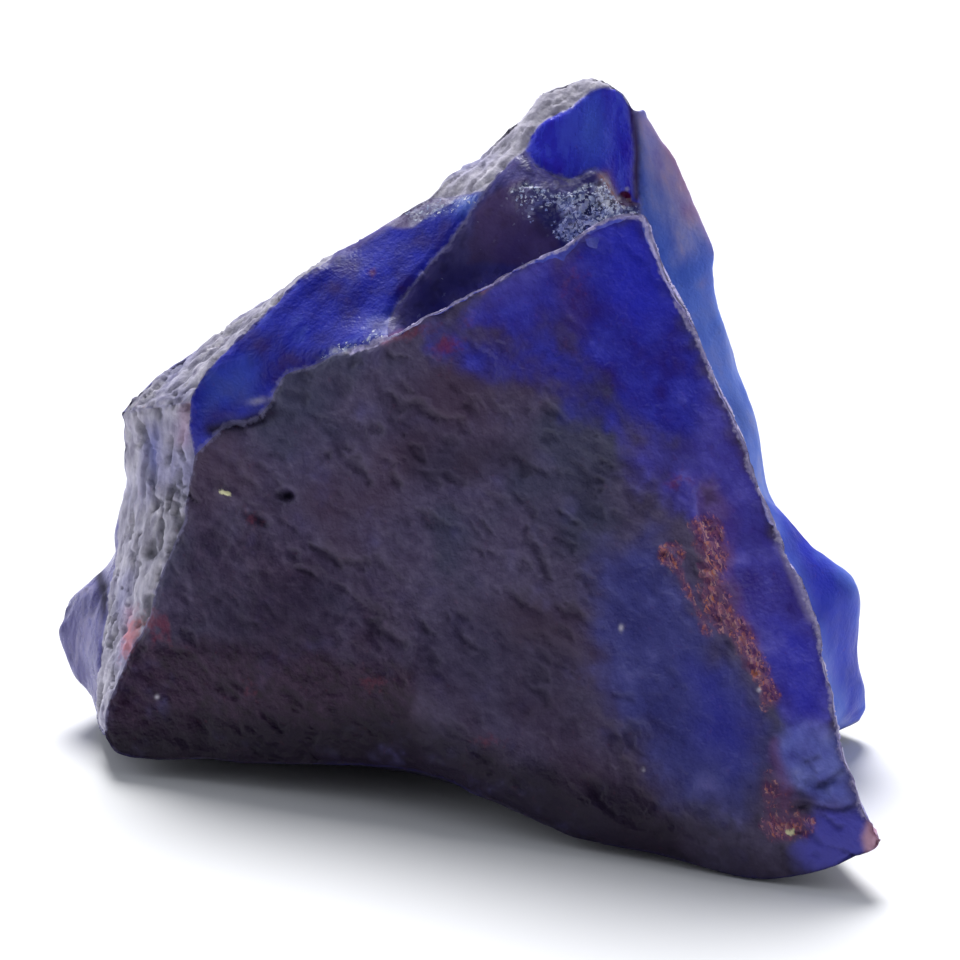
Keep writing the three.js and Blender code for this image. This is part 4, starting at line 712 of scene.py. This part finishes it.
GRAIN["summit"] = grain_frame((0.1, -0.9, 0.3), (0.1, 0, 1), 3.5, 0.7)
GRAIN["fin_back"] = grain_frame((1, 0, 0.2), WORLD["RR0"] - WORLD["RR20"], 2.5)
GRAIN["flank"] = grain_frame((0.9, -0.3, 0.2), WORLD["FS0"] - WORLD["FS16"] if "FS0" in WORLD else (0, 0, 1), 3.0)
GRAIN["left"] = grain_frame((-0.6, -0.8, 0), (0.1, 0, 1), 4.0, 0.8)
for kind in ("back_left", "back_mid", "back_right"):
    GRAIN[kind] = grain_frame((0.2, 1.0, 0.3), (0.35, 0, 1), 2.2)

relief = np.zeros(nV)
# painted shade: how far each point's colour is darkened in pits and notches
pit_shade = np.zeros(nV)
broad = fbm(V / 5.0, 2, 3)


def lay(kind, make):
    rows = np.flatnonzero(on[kind] > 0)
    p = V[rows]
    g = p @ GRAIN[kind].T
    h = make(p, g, rows)
    relief[rows] += h * on[kind][rows]


def front_relief(p, g, rows):
    s = 1 - 0.75 * smooth_zone[rows]
    g = g + 0.25 * np.stack([noise(p / 0.9, 8), noise(p / 0.9, 9), np.zeros(len(p))], 1)
    dashes = fbm(g / 0.42, 31, 2)
    busy = step(-0.35, 0.45, fbm(p / 2.6, 29, 2))
    notch = step(0.12, 0.42, fbm(g / 0.5, 30, 2)) * (0.35 + 0.65 * busy)
    scoop = step(0.15, 0.5, fbm(g / 1.5, 34, 2)) * busy
    lumps = fbm(p / 1.9, 17, 3)
    pit_shade[rows] = np.maximum(pit_shade[rows], s * np.clip(0.8 * notch + 0.35 * scoop, 0, 1) * on["front"][rows])
    h = s * (0.03 * dashes - 0.11 * notch - 0.13 * scoop) + 0.10 * lumps * (0.45 + 0.55 * s)
    fine = fbm(p / 0.33, 71, 2)
    rusty = step(0.0, 0.6, rust[rows])
    f1b, f2b, whob = cells(p / 0.5, 43)
    return h + 0.02 * fine + rusty * (0.16 * (whob - 0.45) + 0.05 * fine)


def pale_relief(p, g, rows):
    g = g + 0.3 * np.stack([noise(p / 0.8, 8), noise(p / 0.8, 9), np.zeros(len(p))], 1)
    ridges = 1 - np.abs(fbm(g / 0.5, 91, 3)) * 2.6
    notch = step(0.02, 0.34, fbm(g / 0.4, 45, 2))
    scoop = step(0.1, 0.5, fbm(g / 1.3, 46, 2))
    d = lines["front/left_wall"][0][rows]
    rugged = 0.35 + 0.65 * step(5.5, 2.5, d + 1.2 * fbm(p / 1.5, 48, 2))
    rugged = np.where(on["left_wall"][rows] > 0.5, rugged, 0.6 - 0.2 * on["rind_top"][rows])
    pit_shade[rows] = np.maximum(pit_shade[rows], rugged * np.clip(0.9 * notch + 0.3 * scoop, 0, 1) * pale[rows])
    return rugged * (0.13 * ridges - 0.30 * notch) - 0.10 * scoop + 0.12 * fbm(p / 1.7, 19, 2) + 0.03 * fbm(p / 0.3, 73, 2)


def band_relief(p, g, rows):
    return 0.07 * fbm(g / 1.6, 33, 2) + 0.012 * fbm(g / 0.5, 35, 2) + 0.06 * fbm(p / 3.0, 36, 2)


def cleft_relief(p, g, rows):
    f1, f2, who = cells(p / 0.85, 47)
    f1b, f2b, whob = cells(p / 0.38, 49)
    rugged = ledge[rows]
    pit_shade[rows] = np.maximum(pit_shade[rows], 0.6 * step(0.5, 0.9, whob) * on["cleft"][rows])
    return 0.16 * (who - 0.5) * (0.25 + 1.5 * rugged) + 0.16 * (whob - 0.5) * (0.15 + 1.2 * rugged) + 0.10 * fbm(p / 1.3, 21, 3)


def summit_relief(p, g, rows):
    return 0.05 * fbm(g / 0.6, 37, 2) + 0.08 * fbm(p / 2.2, 38, 2)


def soft_relief(p, g, rows):
    far = np.maximum(hid[rows], on["fin_back"][rows])
    notch = step(0.15, 0.5, fbm(g / 0.8, 44, 2)) * step(-0.3, 0.3, fbm(p / 3.0, 28, 2)) * far
    pit_shade[rows] = np.maximum(pit_shade[rows], 0.5 * notch)
    return 0.07 * fbm(g / 1.0, 39, 3) + (0.08 + 0.16 * far) * fbm(p / 2.4, 40, 2) + 0.012 * fbm(p / 0.35, 42, 2) - 0.2 * notch


def back_relief(p, g, rows):
    big = p + 0.6 * np.stack([fbm(p / 2.2, 5), fbm(p / 2.2, 6), fbm(p / 2.2, 7)], 1)
    f1, f2, who = cells(big / 4.2, 51)
    g1, g2, whog = cells(big / 1.5, 53)
    near = 0.25 * np.stack([noise(p / 0.9, 8), noise(p / 0.9, 9), np.zeros(len(p))], 1)
    notch = step(0.1, 0.42, fbm((g + near) / 0.6, 30, 2)) * step(-0.4, 0.3, fbm(p / 2.6, 29, 2))
    pit_shade[rows] = np.maximum(pit_shade[rows], 0.75 * notch)
    return 0.9 * (np.minimum(f1, 1.1) ** 2 - 0.35) + 0.22 * (g1 ** 2 - 0.3) * (who > 0.35) + 0.09 * fbm(p / 0.7, 55, 3) - 0.16 * notch


for kind in KINDS:
    if kind == "front":
        lay(kind, front_relief)
    elif kind in ("left_wall", "rind", "rind_top"):
        lay(kind, pale_relief)
    elif kind == "band":
        lay(kind, band_relief)
    elif kind == "cleft":
        lay(kind, cleft_relief)
    elif kind == "summit":
        lay(kind, summit_relief)
    elif kind in ("fin_back", "moat", "flank", "left"):
        lay(kind, soft_relief)
    elif kind in ("back_left", "back_mid", "back_right"):
        lay(kind, back_relief)
    elif kind == "under":
        lay(kind, lambda p, g, rows: 0.08 * fbm(p / 1.0, 57, 3))

# single features of the broad face, in millimetres
hole = 0.7 * spot(q, 285, 495, 8, 5, 10) + 0.3 * spot(q, 262, 520, 8, 4, 30) + 0.35 * spot(q, 830, 782, 13, 4, -22)
hole += 0.18 * stroke(q, [(793, 808), (815, 806), (836, 810), (851, 806)], 3.0) + 0.3 * spot(q, 802, 806, 7, 4)
hole += 0.35 * spot(q, 269, 402, 7, 5) + 0.4 * spot(q, 255, 420, 14, 5, -10) + 0.25 * spot(q, 664, 553, 5, 4)
bump = 0.28 * spot(q, 227, 493, 9, 5, 20) + 0.2 * spot(q, 788, 830, 7, 7) + 0.12 * grey_ring
relief += front * (bump - hole)

# worn, chipped arrises
chip = step(0.5, 0.0, edge) * (0.08 + 0.12 * step(-0.2, 0.8, fbm(V / 0.55, 61, 2)) + 0.12 * step(0.1, 0.7, fbm(V / 1.5, 63)))
chip *= 1 - 0.7 * spot(q, 648, 226, 26, 22)
chip *= np.where(on["under"] + on["rest"] > 0, 0.3, 1.0)
relief -= chip

still = on["rest"] > 0
near_floor = np.clip((V[:, 2] - 0.15) / 1.5, 0.05, 1)
V = V + N * (relief * np.where(still, 0, near_floor))[:, None]
V[:, 2] = np.where(still, 0.0, np.maximum(V[:, 2], 0.04))

# ---- the mesh -----------------------------------------------------------------------------
mesh = bpy.data.meshes.new("sapphire_skin")
mesh.vertices.add(nV)
mesh.vertices.foreach_set("co", (V / 1000).astype(np.float32).reshape(-1))
mesh.loops.add(3 * len(F))
mesh.loops.foreach_set("vertex_index", F.astype(np.int32).reshape(-1))
mesh.polygons.add(len(F))
mesh.polygons.foreach_set("loop_start", np.arange(0, 3 * len(F), 3, dtype=np.int32))
mesh.polygons.foreach_set("use_smooth", np.ones(len(F), bool))
mesh.update(calc_edges=True)
mesh.validate()
stone = bpy.data.objects.new("sapphire_skin", mesh)
bpy.context.scene.collection.objects.link(stone)


def keep(name, kind, domain, values):
    a = mesh.attributes.new(name, kind, domain)
    field = {"FLOAT": "value", "FLOAT_COLOR": "color", "FLOAT_VECTOR": "vector"}[kind]
    a.data.foreach_set(field, np.ascontiguousarray(values, np.float32).reshape(-1))


def one(*kinds):
    return np.isin(L, [KIND[k] for k in kinds]).astype(float)


keep("zone_a", "FLOAT_COLOR", "FACE", np.stack([one("front"), one("left_wall", "rind", "rind_top"), one("band"), one("cleft", "moat")], 1))
keep("zone_b", "FLOAT_COLOR", "POINT", np.stack([on["summit"], on["flank"], on["left"], np.minimum(1, back + on["under"] + on["rest"])], 1))
keep("paint_a", "FLOAT_COLOR", "POINT", paint_a)
keep("paint_b", "FLOAT_COLOR", "POINT", paint_b)
keep("paint_c", "FLOAT_COLOR", "POINT", paint_c)
keep("paint_d", "FLOAT_COLOR", "POINT", paint_d)
keep("paint_e", "FLOAT_COLOR", "POINT", paint_e)
keep("paint_f", "FLOAT_COLOR", "POINT", paint_f)
keep("paint_g", "FLOAT_COLOR", "POINT", paint_g)
keep("paint_h", "FLOAT_COLOR", "POINT", paint_h)
keep("depth", "FLOAT", "POINT", deep[:, 0])
keep("edge", "FLOAT", "POINT", shown + 2.0 * (on["under"] + on["rest"] > 0))
keep("rim", "FLOAT", "POINT", np.minimum(1.5 * rim_top[0], rim_right[0] - 0.22 * inside(q, [(636, 204), (662, 204), (704, 330), (684, 330)], 8)))
keep("pit_shade", "FLOAT", "POINT", pit_shade)
keep("broad", "FLOAT", "POINT", broad)
keep("seam", "FLOAT_VECTOR", "POINT", V @ grain_frame(FACE, 0.36 * right - 0.93 * up, 1.0).T)
PAINT = dict(GRAIN)
PAINT["front"] = grain_frame(FACE, dash, 1.2)
PAINT["band"] = grain_frame((0.2, -0.9, 0.4), WORLD["GC8"] - WORLD["GC0"], 1.5)
frames = np.array([PAINT[k] for k in KINDS])
corner = np.einsum("fij,fcj->fci", frames[L], V[F])
keep("grain", "FLOAT_VECTOR", "CORNER", corner)
keep("place", "FLOAT_VECTOR", "POINT", V)

# ---- the mineral ----------------------------------------------------------------------------
def tone(r, g, b):
    """A colour given as 0-255 screen values, as the linear one that nodes use."""
    out = []
    for c in (r, g, b):
        c /= 255
        out.append(c / 12.92 if c <= 0.04045 else ((c + 0.055) / 1.055) ** 2.4)
    return (*out, 1.0)


class Graph:
    def __init__(self, tree):
        self.tree, self.x = tree, 0

    def add(self, kind, **settings):
        node = self.tree.nodes.new(kind)
        self.x += 40
        node.location = (self.x, -(self.x % 600))
        for k, v in settings.items():
            setattr(node, k, v)
        return node

    def put(self, socket, value):
        if isinstance(value, bpy.types.NodeSocket):
            self.tree.links.new(value, socket)
        elif value is not None:
            socket.default_value = value

    def calc(self, op, a, b=None, c=None, clamp=False):
        node = self.add("ShaderNodeMath", operation=op, use_clamp=clamp)
        for s, v in zip(node.inputs, (a, b, c)):
            self.put(s, v)
        return node.outputs[0]

    def mul(self, a, b):
        return self.calc("MULTIPLY", a, b)

    def plus(self, a, b):
        return self.calc("ADD", a, b)

    def span(self, x, lo, hi, a=0.0, b=1.0, smooth=True):
        node = self.add("ShaderNodeMapRange", interpolation_type="SMOOTHSTEP" if smooth else "LINEAR")
        for s, v in zip(node.inputs, (x, lo, hi, a, b)):
            self.put(s, v)
        return node.outputs[0]

    def mix(self, how, a, b, blend="MIX"):
        node = self.add("ShaderNodeMix", data_type="RGBA", blend_type=blend, clamp_factor=True)
        self.put(node.inputs[0], how)
        self.put(node.inputs[6], a)
        self.put(node.inputs[7], b)
        return node.outputs[2]

    def attr(self, name):
        return self.add("ShaderNodeAttribute", attribute_name=name)

    def four(self, name):
        node = self.attr(name)
        split = self.add("ShaderNodeSeparateColor")
        self.put(split.inputs[0], node.outputs["Color"])
        return (*split.outputs[:3], node.outputs["Alpha"])

    def noise(self, at, scale, detail=3.0, rough=0.55, twist=0.0):
        node = self.add("ShaderNodeTexNoise")
        for s, v in (("Vector", at), ("Scale", scale), ("Detail", detail), ("Roughness", rough), ("Distortion", twist)):
            self.put(node.inputs[s], v)
        return node.outputs[0]

    def crumbs(self, at, size):
        """Random colours of crumbs, size millimetres across."""
        snap = self.add("ShaderNodeVectorMath", operation="SNAP")
        self.put(snap.inputs[0], at)
        self.put(snap.inputs[1], size if isinstance(size, tuple) else (size, size, size))
        dice = self.add("ShaderNodeTexWhiteNoise", noise_dimensions="3D")
        self.put(dice.inputs["Vector"], snap.outputs[0])
        return dice.outputs["Color"]

    def ramp(self, x, *stops):
        node = self.add("ShaderNodeValToRGB")
        ramp = node.color_ramp
        while len(ramp.elements) < len(stops):
            ramp.elements.new(0.5)
        for e, (at, colour) in zip(ramp.elements, stops):
            e.position, e.color = at, colour
        self.put(node.inputs[0], x)
        return node.outputs[0]

    def bump(self, height, distance, strength=1.0, after=None):
        node = self.add("ShaderNodeBump")
        self.put(node.inputs["Strength"], strength)
        self.put(node.inputs["Distance"], distance)
        self.put(node.inputs["Height"], height)
        if after is not None:
            self.put(node.inputs["Normal"], after)
        return node.outputs[0]


material = bpy.data.materials.new("rough_sapphire")
material.use_nodes = True
tree_ = material.node_tree
tree_.nodes.clear()
g = Graph(tree_)
shader = g.add("ShaderNodeBsdfPrincipled")
out = g.add("ShaderNodeOutputMaterial")
tree_.links.new(shader.outputs[0], out.inputs["Surface"])

place = g.attr("place").outputs["Vector"]  # millimetres
grain = g.attr("grain").outputs["Vector"]  # millimetres, shortened along the grain
z_front, z_pale, z_band, z_cleft = g.four("zone_a")
z_summit, z_flank, z_left, z_back = g.four("zone_b")
m_blue_and_glow, m_violet_and_glow, m_glow, m_wisp = g.four("paint_a")
m_brown_and_shade, m_foot_shade, m_red, m_rust = g.four("paint_b")
m_ring, m_cream, m_pink, m_ledge = g.four("paint_c")
m_ledge = g.mul(m_ledge, g.calc("MULTIPLY_ADD", z_front, -0.75, 1.0))
m_hot_glow, m_halo, m_bead, m_wedge = g.four("paint_d")
m_dark_and_shade, m_pinkish, m_sky_glow, m_white_and_highlight = g.four("paint_e")
m_hollow, m_top, m_low, n_mid = g.four("paint_f")
m_hid, m_frost, m_smear, m_under_shade = g.four("paint_g")
m_maroon, m_rindback, m_umber, m_bevel = g.four("paint_h")
depth = g.attr("depth").outputs["Fac"]
edge_ = g.attr("edge").outputs["Fac"]
rim_ = g.attr("rim").outputs["Fac"]

pit_shade_ = g.attr("pit_shade").outputs["Fac"]
broad_ = g.attr("broad").outputs["Fac"]

n_fine = g.noise(place, 2.6, 2, 0.6)
n_grain = g.noise(grain, 1.7, 3, 0.6, 0.2)
shaken = g.add("ShaderNodeVectorMath", operation="ADD")  # flakes with ragged sides
g.put(shaken.inputs[0], place)
g.put(shaken.inputs[1], g.mul(n_fine, 0.5))
f_split = g.add("ShaderNodeSeparateColor")
g.put(f_split.inputs[0], g.crumbs(shaken.outputs[0], 0.19))
seam = g.attr("seam").outputs["Vector"]  # millimetres, x along the rust seams
tossed = g.add("ShaderNodeVectorMath", operation="ADD")
g.put(tossed.inputs[0], seam)
g.put(tossed.inputs[1], g.mul(n_fine, 0.6))
sliver = g.add("ShaderNodeSeparateColor")
g.put(sliver.inputs[0], g.crumbs(tossed.outputs[0], (0.26, 0.09, 0.3)))
s_one, s_two, s_three = sliver.outputs[:3]
glint = g.add("ShaderNodeSeparateColor")
g.put(glint.inputs[0], g.crumbs(shaken.outputs[0], 0.13))
f_one, f_two, f_three = f_split.outputs[:3]
mid0 = g.calc("SUBTRACT", n_mid, 0.5)
fine0 = g.calc("SUBTRACT", n_fine, 0.5)
# painted glow: how much a point is tinted brighter, from how little stone lies behind it
thin_glow = g.span(depth, 1.2, 8.5, 1.0, 0.0)

# slate: the grey-violet body of the broad face
slate = g.ramp(n_grain, (0.28, tone(72, 64, 92)), (0.5, tone(83, 74, 105)), (0.72, tone(97, 88, 118)))
slate = g.mix(g.span(broad_, -0.1, 0.6, 0.0, 0.7), slate, tone(76, 58, 80))
slate = g.mix(g.span(broad_, -0.1, -0.6, 0.0, 0.6), slate, tone(60, 66, 92))
# colour zones, the bright ones carrying painted glow where the stone is thin
c_blue_and_glow = g.ramp(n_mid, (0.3, tone(52, 36, 122)), (0.5, tone(48, 44, 154)), (0.72, tone(56, 60, 186)))
c_violet_and_glow = g.ramp(n_mid, (0.3, tone(60, 48, 138)), (0.52, tone(78, 72, 172)), (0.75, tone(112, 106, 204)))
c_glow = g.ramp(n_mid, (0.3, tone(60, 60, 126)), (0.6, tone(74, 75, 144)), (0.8, tone(92, 94, 164)))
c_wisp = g.ramp(n_mid, (0.3, tone(82, 84, 180)), (0.5, tone(106, 114, 206)), (0.65, tone(128, 138, 224)), (0.8, tone(160, 166, 234)))
c_brown_and_shade = g.ramp(n_grain, (0.3, tone(36, 20, 40)), (0.55, tone(56, 37, 62)), (0.75, tone(76, 56, 80)))


def edged(mask, lo=0.3, hi=0.7, amount=0.8):
    """A mask whose border is broken up by the mid noise."""
    return g.span(g.plus(mask, g.mul(mid0, amount)), lo, hi)


# reddish-brown tone with painted shade on the lower left
face = g.mix(edged(m_brown_and_shade, 0.1, 0.9), slate, c_brown_and_shade)
# painted shade along the foot of the broad face
face = g.mix(g.mul(edged(m_foot_shade, 0.1, 0.9), 0.88), face, tone(22, 9, 34))
face = g.mix(edged(m_glow, 0.05, 0.95), face, c_glow)
face = g.mix(edged(m_violet_and_glow, 0.2, 0.8), face, c_violet_and_glow)
face = g.mix(edged(m_blue_and_glow, 0.15, 0.85), face, c_blue_and_glow)
# painted glow, brightest at the thin apex
face = g.mix(g.mul(m_hot_glow, 0.8), face, tone(48, 52, 196))
face = g.mix(edged(m_low, 0.1, 0.9), face, tone(82, 80, 182))
face = g.mix(g.mul(edged(m_wisp, 0.0, 1.0, 0.7), 0.86), face, c_wisp)
face = g.mix(g.mul(edged(m_halo, 0.1, 0.9), 0.5), face, tone(104, 84, 132))

# pale weathered rind and left wall
rind = g.ramp(n_grain, (0.28, tone(112, 108, 132)), (0.45, tone(162, 158, 178)), (0.6, tone(196, 192, 206)), (0.8, tone(234, 230, 238)))
rind = g.mix(g.span(broad_, 0.0, 0.5, 0.0, 0.5), rind, tone(122, 122, 184))

band = g.ramp(n_mid, (0.3, tone(46, 26, 130)), (0.46, tone(26, 28, 160)), (0.62, tone(26, 38, 190)), (0.8, tone(62, 84, 206)))
cleft = g.ramp(n_mid, (0.3, tone(50, 46, 116)), (0.5, tone(68, 62, 126)), (0.72, tone(98, 92, 150)))
summit = g.ramp(n_grain, (0.3, tone(62, 44, 210)), (0.5, tone(62, 64, 232)), (0.7, tone(80, 94, 244)))
flank = g.ramp(n_mid, (0.3, tone(76, 116, 236)), (0.5, tone(100, 138, 246)), (0.66, tone(126, 148, 238)), (0.82, tone(170, 160, 226)))
flank = g.mix(m_top, flank, g.ramp(n_grain, (0.3, tone(130, 142, 236)), (0.55, tone(176, 182, 248)), (0.75, tone(214, 200, 238))))
flank = g.mix(m_hollow, flank, g.ramp(n_mid, (0.3, tone(0, 14, 178)), (0.7, tone(4, 38, 216))))
left = g.ramp(n_grain, (0.3, tone(78, 68, 140)), (0.5, tone(126, 122, 180)), (0.7, tone(168, 160, 200)))
hidden = g.ramp(n_grain, (0.3, tone(48, 52, 140)), (0.5, tone(66, 80, 186)), (0.7, tone(98, 112, 206)))
hidden = g.mix(g.span(g.plus(broad_, g.mul(mid0, 0.8)), 0.05, 0.4, 0.0, 0.85), hidden, g.ramp(n_grain, (0.3, tone(60, 52, 84)), (0.7, tone(104, 94, 124))))
flank = g.mix(m_hid, flank, hidden)
rear = g.ramp(n_grain, (0.28, tone(46, 40, 66)), (0.5, tone(62, 56, 86)), (0.72, tone(88, 82, 110)))
rear = g.mix(g.span(g.plus(broad_, g.mul(mid0, 0.6)), -0.2, 0.45), rear, g.ramp(n_mid, (0.3, tone(30, 26, 84)), (0.55, tone(36, 40, 122)), (0.8, tone(60, 70, 156))))
# painted glow: the back made bluer where the stone is thin
rear = g.mix(g.mul(thin_glow, 0.7), rear, tone(44, 62, 190))
rear = g.mix(g.span(g.plus(broad_, g.mul(mid0, 0.8)), -0.2, -0.6, 0.0, 0.55), rear, g.ramp(n_grain, (0.3, tone(88, 84, 100)), (0.6, tone(126, 120, 138)), (0.8, tone(164, 158, 172))))
fin = g.mix(0.6, g.ramp(n_mid, (0.3, tone(48, 40, 140)), (0.55, tone(66, 64, 190)), (0.78, tone(110, 114, 214))), hidden)

colour = g.mix(z_front, fin, face)
for zone, paint in ((z_pale, rind), (z_band, band), (z_cleft, cleft), (z_summit, summit), (z_flank, flank), (z_left, left), (z_back, rear)):
    colour = g.mix(zone, colour, paint)
# painted shade: pits and notches darkened
colour = g.mix(g.mul(pit_shade_, g.calc("MULTIPLY_ADD", z_pale, 0.3, 0.7)), colour, g.mix(0.72, colour, g.mix(z_pale, tone(20, 12, 34), tone(44, 50, 60))))

# local tints, with painted shade on the underside and in darkened marks, and painted glow in light-blue patches
colour = g.mix(g.mul(edged(m_frost, 0.15, 0.85), 0.75), colour, g.ramp(n_grain, (0.3, tone(118, 96, 116)), (0.5, tone(158, 142, 168)), (0.7, tone(206, 200, 220))))
colour = g.mix(g.mul(edged(m_umber, 0.1, 0.9), 0.5), colour, tone(98, 72, 104))
colour = g.mix(g.mul(m_rindback, 0.85), colour, rind)
# painted shade: the underside darkened
colour = g.mix(m_under_shade, colour, tone(30, 22, 50))
# painted shade and real dark marks, mixed to a dark violet
colour = g.mix(m_dark_and_shade, colour, tone(22, 14, 44))
colour = g.mix(m_pinkish, colour, tone(196, 140, 176))
# painted glow in light-blue patches
colour = g.mix(m_sky_glow, colour, g.mix(z_pale, tone(96, 132, 248), tone(70, 84, 178)))

# inclusions
rust_on = g.span(g.plus(g.plus(m_rust, g.mul(fine0, 1.1)), g.mul(s_three, 0.34)), 0.6, 0.98)
rusty = g.ramp(s_one, (0.05, tone(72, 44, 88)), (0.28, tone(112, 64, 104)), (0.46, tone(156, 92, 116)), (0.62, tone(218, 132, 76)), (0.78, tone(176, 112, 138)), (0.94, tone(208, 156, 146)))
rusty = g.mix(g.span(n_fine, 0.42, 0.6, 0.6, 0.0), rusty, tone(84, 46, 92))
colour = g.mix(g.mul(g.span(m_rust, 0.25, 0.75), g.mul(z_front, 0.6)), colour, tone(112, 66, 104))
colour = g.mix(g.mul(edged(m_smear, 0.0, 1.1), 0.5), colour, tone(116, 70, 112))
colour = g.mix(g.mul(rust_on, g.mul(z_front, 0.66)), colour, rusty)
colour = g.mix(g.mul(g.span(g.plus(m_red, g.mul(fine0, 1.5)), 0.15, 1.1), 0.62), colour, g.mix(z_pale, tone(122, 48, 70), tone(206, 88, 74)))
colour = g.mix(g.mul(g.span(g.plus(m_cream, g.mul(fine0, 0.9)), 0.3, 0.6), 0.95), colour, tone(226, 222, 176))
colour = g.mix(m_pink, colour, tone(206, 160, 184))
colour = g.mix(m_wedge, colour, tone(172, 126, 116))
colour = g.mix(m_maroon, colour, tone(58, 8, 66))
colour = g.mix(g.span(m_bead, 0.3, 0.6), colour, tone(84, 12, 60))
# the ledge crumbs, their palest tones a painted sparkle
colour = g.mix(g.mul(m_ledge, 0.85), colour, g.ramp(f_two, (0.1, tone(44, 50, 92)), (0.5, tone(112, 124, 176)), (0.75, tone(176, 188, 226)), (0.95, tone(232, 238, 252))))
# painted glints on single crumbs
spark = g.plus(g.mul(m_ledge, g.span(n_fine, 0.35, 0.6, 0.08, 0.62)), g.mul(z_cleft, 0.014))
spark = g.span(g.plus(glint.outputs[0], spark), 1.0, 1.05)
colour = g.mix(spark, colour, g.mix(glint.outputs[1], tone(150, 166, 214), tone(244, 246, 255)))

# crushed, whitened arrises, partly a painted highlight along the edges and the sharp rim
worn_and_highlight = g.span(g.plus(edge_, g.mul(fine0, 0.5)), 0.22, 0.05)
rim_highlight = g.span(g.plus(rim_, g.mul(fine0, 0.6)), 0.42, 0.2)
colour = g.mix(g.mul(worn_and_highlight, g.calc("MULTIPLY_ADD", m_maroon, -0.35, 0.35, clamp=True)), colour, tone(150, 146, 190))
colour = g.mix(m_bevel, colour, tone(134, 124, 184))
colour = g.mix(g.mul(rim_highlight, 0.8), colour, g.mix(f_one, tone(150, 142, 196), tone(206, 196, 232)))
# painted highlights and a pale tone, with the painted sheen on the crest
colour = g.mix(m_white_and_highlight, colour, tone(222, 216, 232))

tree_.links.new(colour, shader.inputs["Base Color"])

# finish
rough = g.span(n_grain, 0.3, 0.7, 0.32, 0.5)
polish = g.calc("MAXIMUM", g.calc("MAXIMUM", m_blue_and_glow, m_violet_and_glow), g.calc("MAXIMUM", g.mul(m_glow, 0.7), g.calc("MAXIMUM", z_band, g.calc("MAXIMUM", z_summit, g.calc("MAXIMUM", z_flank, z_left)))))
rough = g.calc("SUBTRACT", rough, g.mul(polish, 0.16))
rough = g.plus(rough, g.mul(g.calc("MAXIMUM", z_flank, z_band), 0.22))
rough = g.plus(rough, g.mul(z_pale, 0.16))
rough = g.plus(rough, g.calc("MAXIMUM", g.mul(m_ledge, 0.15), g.mul(m_dark_and_shade, 0.4)))
tree_.links.new(rough, shader.inputs["Roughness"])
clear = g.mul(g.calc("MAXIMUM", g.calc("MAXIMUM", z_band, z_summit), g.calc("MAXIMUM", z_flank, z_left)), 0.24)
clear = g.calc("SUBTRACT", clear, g.mul(rust_on, 0.08), clamp=True)
tree_.links.new(clear, shader.inputs["Transmission Weight"])
shader.inputs["IOR"].default_value = 1.77
shader.inputs["Specular IOR Level"].default_value = 0.1

height = g.noise(place, 4.5, 1, 0.6)
tree_.links.new(g.bump(height, 0.00005, 0.8), shader.inputs["Normal"])

absorb = g.add("ShaderNodeVolumeAbsorption")
absorb.inputs["Color"].default_value = (0.08, 0.15, 0.92, 1)
absorb.inputs["Density"].default_value = 400.0
tree_.links.new(absorb.outputs[0], out.inputs["Volume"])

mesh.materials.append(material)
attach(stone, "root")
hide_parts(NODE)

# ---- floor, light, camera ---------------------------------------------------------------------
bpy.ops.mesh.primitive_plane_add(size=6.0, location=(0, 0, 0))
floor = bpy.context.object
floor.name = "floor"
paper = bpy.data.materials.new("paper")
paper.use_nodes = True
p = paper.node_tree.nodes["Principled BSDF"]
p.inputs["Base Color"].default_value = (0.88, 0.88, 0.89, 1)
p.inputs["Roughness"].default_value = 0.9
p.inputs["Specular IOR Level"].default_value = 0.1
floor.data.materials.append(paper)

world = bpy.data.worlds.new("studio")
bpy.context.scene.world = world
world.use_nodes = True
w = Graph(world.node_tree)
world.node_tree.nodes.clear()
direction = w.add("ShaderNodeTexCoord").outputs["Generated"]
# a broad soft box behind and above the stone; the side that the broad face looks to is dim
toward = w.add("ShaderNodeVectorMath", operation="DOT_PRODUCT")
w.put(toward.inputs[0], direction)
toward.inputs[1].default_value = Vector((0.15, 0.8, 0.35)).normalized()
sky_glow = w.span(toward.outputs["Value"], -0.1, 0.9, 0.018, 0.7)
# and a low panel on either side
for centre, strength in (((-0.95, 0.15, 0.3), 1.18), ((0.93, -0.1, 0.25), 0.72)):
    panel = w.add("ShaderNodeVectorMath", operation="DOT_PRODUCT")
    w.put(panel.inputs[0], direction)
    panel.inputs[1].default_value = Vector(centre).normalized()
    sky_glow = w.plus(sky_glow, w.span(panel.outputs["Value"], 0.7, 0.95, 0.0, strength))
seen = w.add("ShaderNodeLightPath").outputs["Is Camera Ray"]
background = w.add("ShaderNodeBackground")
w.put(background.inputs["Color"], w.mix(seen, (0.88, 0.92, 1.0, 1), (0.97, 0.985, 1.0, 1)))
w.put(background.inputs["Strength"], w.plus(w.mul(sky_glow, w.calc("SUBTRACT", 1.0, seen)), w.mul(seen, 0.98)))
w.put(w.add("ShaderNodeOutputWorld").inputs["Surface"], background.outputs[0])

sun_data = bpy.data.lights.new("key", "SUN")
sun_data.energy = 3.6
sun_data.angle = math.radians(25)
sun = bpy.data.objects.new("key", sun_data)
bpy.context.scene.collection.objects.link(sun)
sun.rotation_euler = Vector((-0.07, 0.54, 0.84)).to_track_quat("Z", "Y").to_euler()

camera_data = bpy.data.cameras.new("camera")
camera_data.lens, camera_data.sensor_width = 150, 36
camera = bpy.data.objects.new("camera", camera_data)
camera.location = EYE / 1000
camera.rotation_euler = (math.radians(70), 0, 0)
camera_data.clip_start, camera_data.clip_end = 0.005, 20
bpy.context.scene.collection.objects.link(camera)
bpy.context.scene.camera = camera
bpy.context.scene.view_settings.view_transform = "Standard"
bpy.context.scene.view_settings.look = "None"
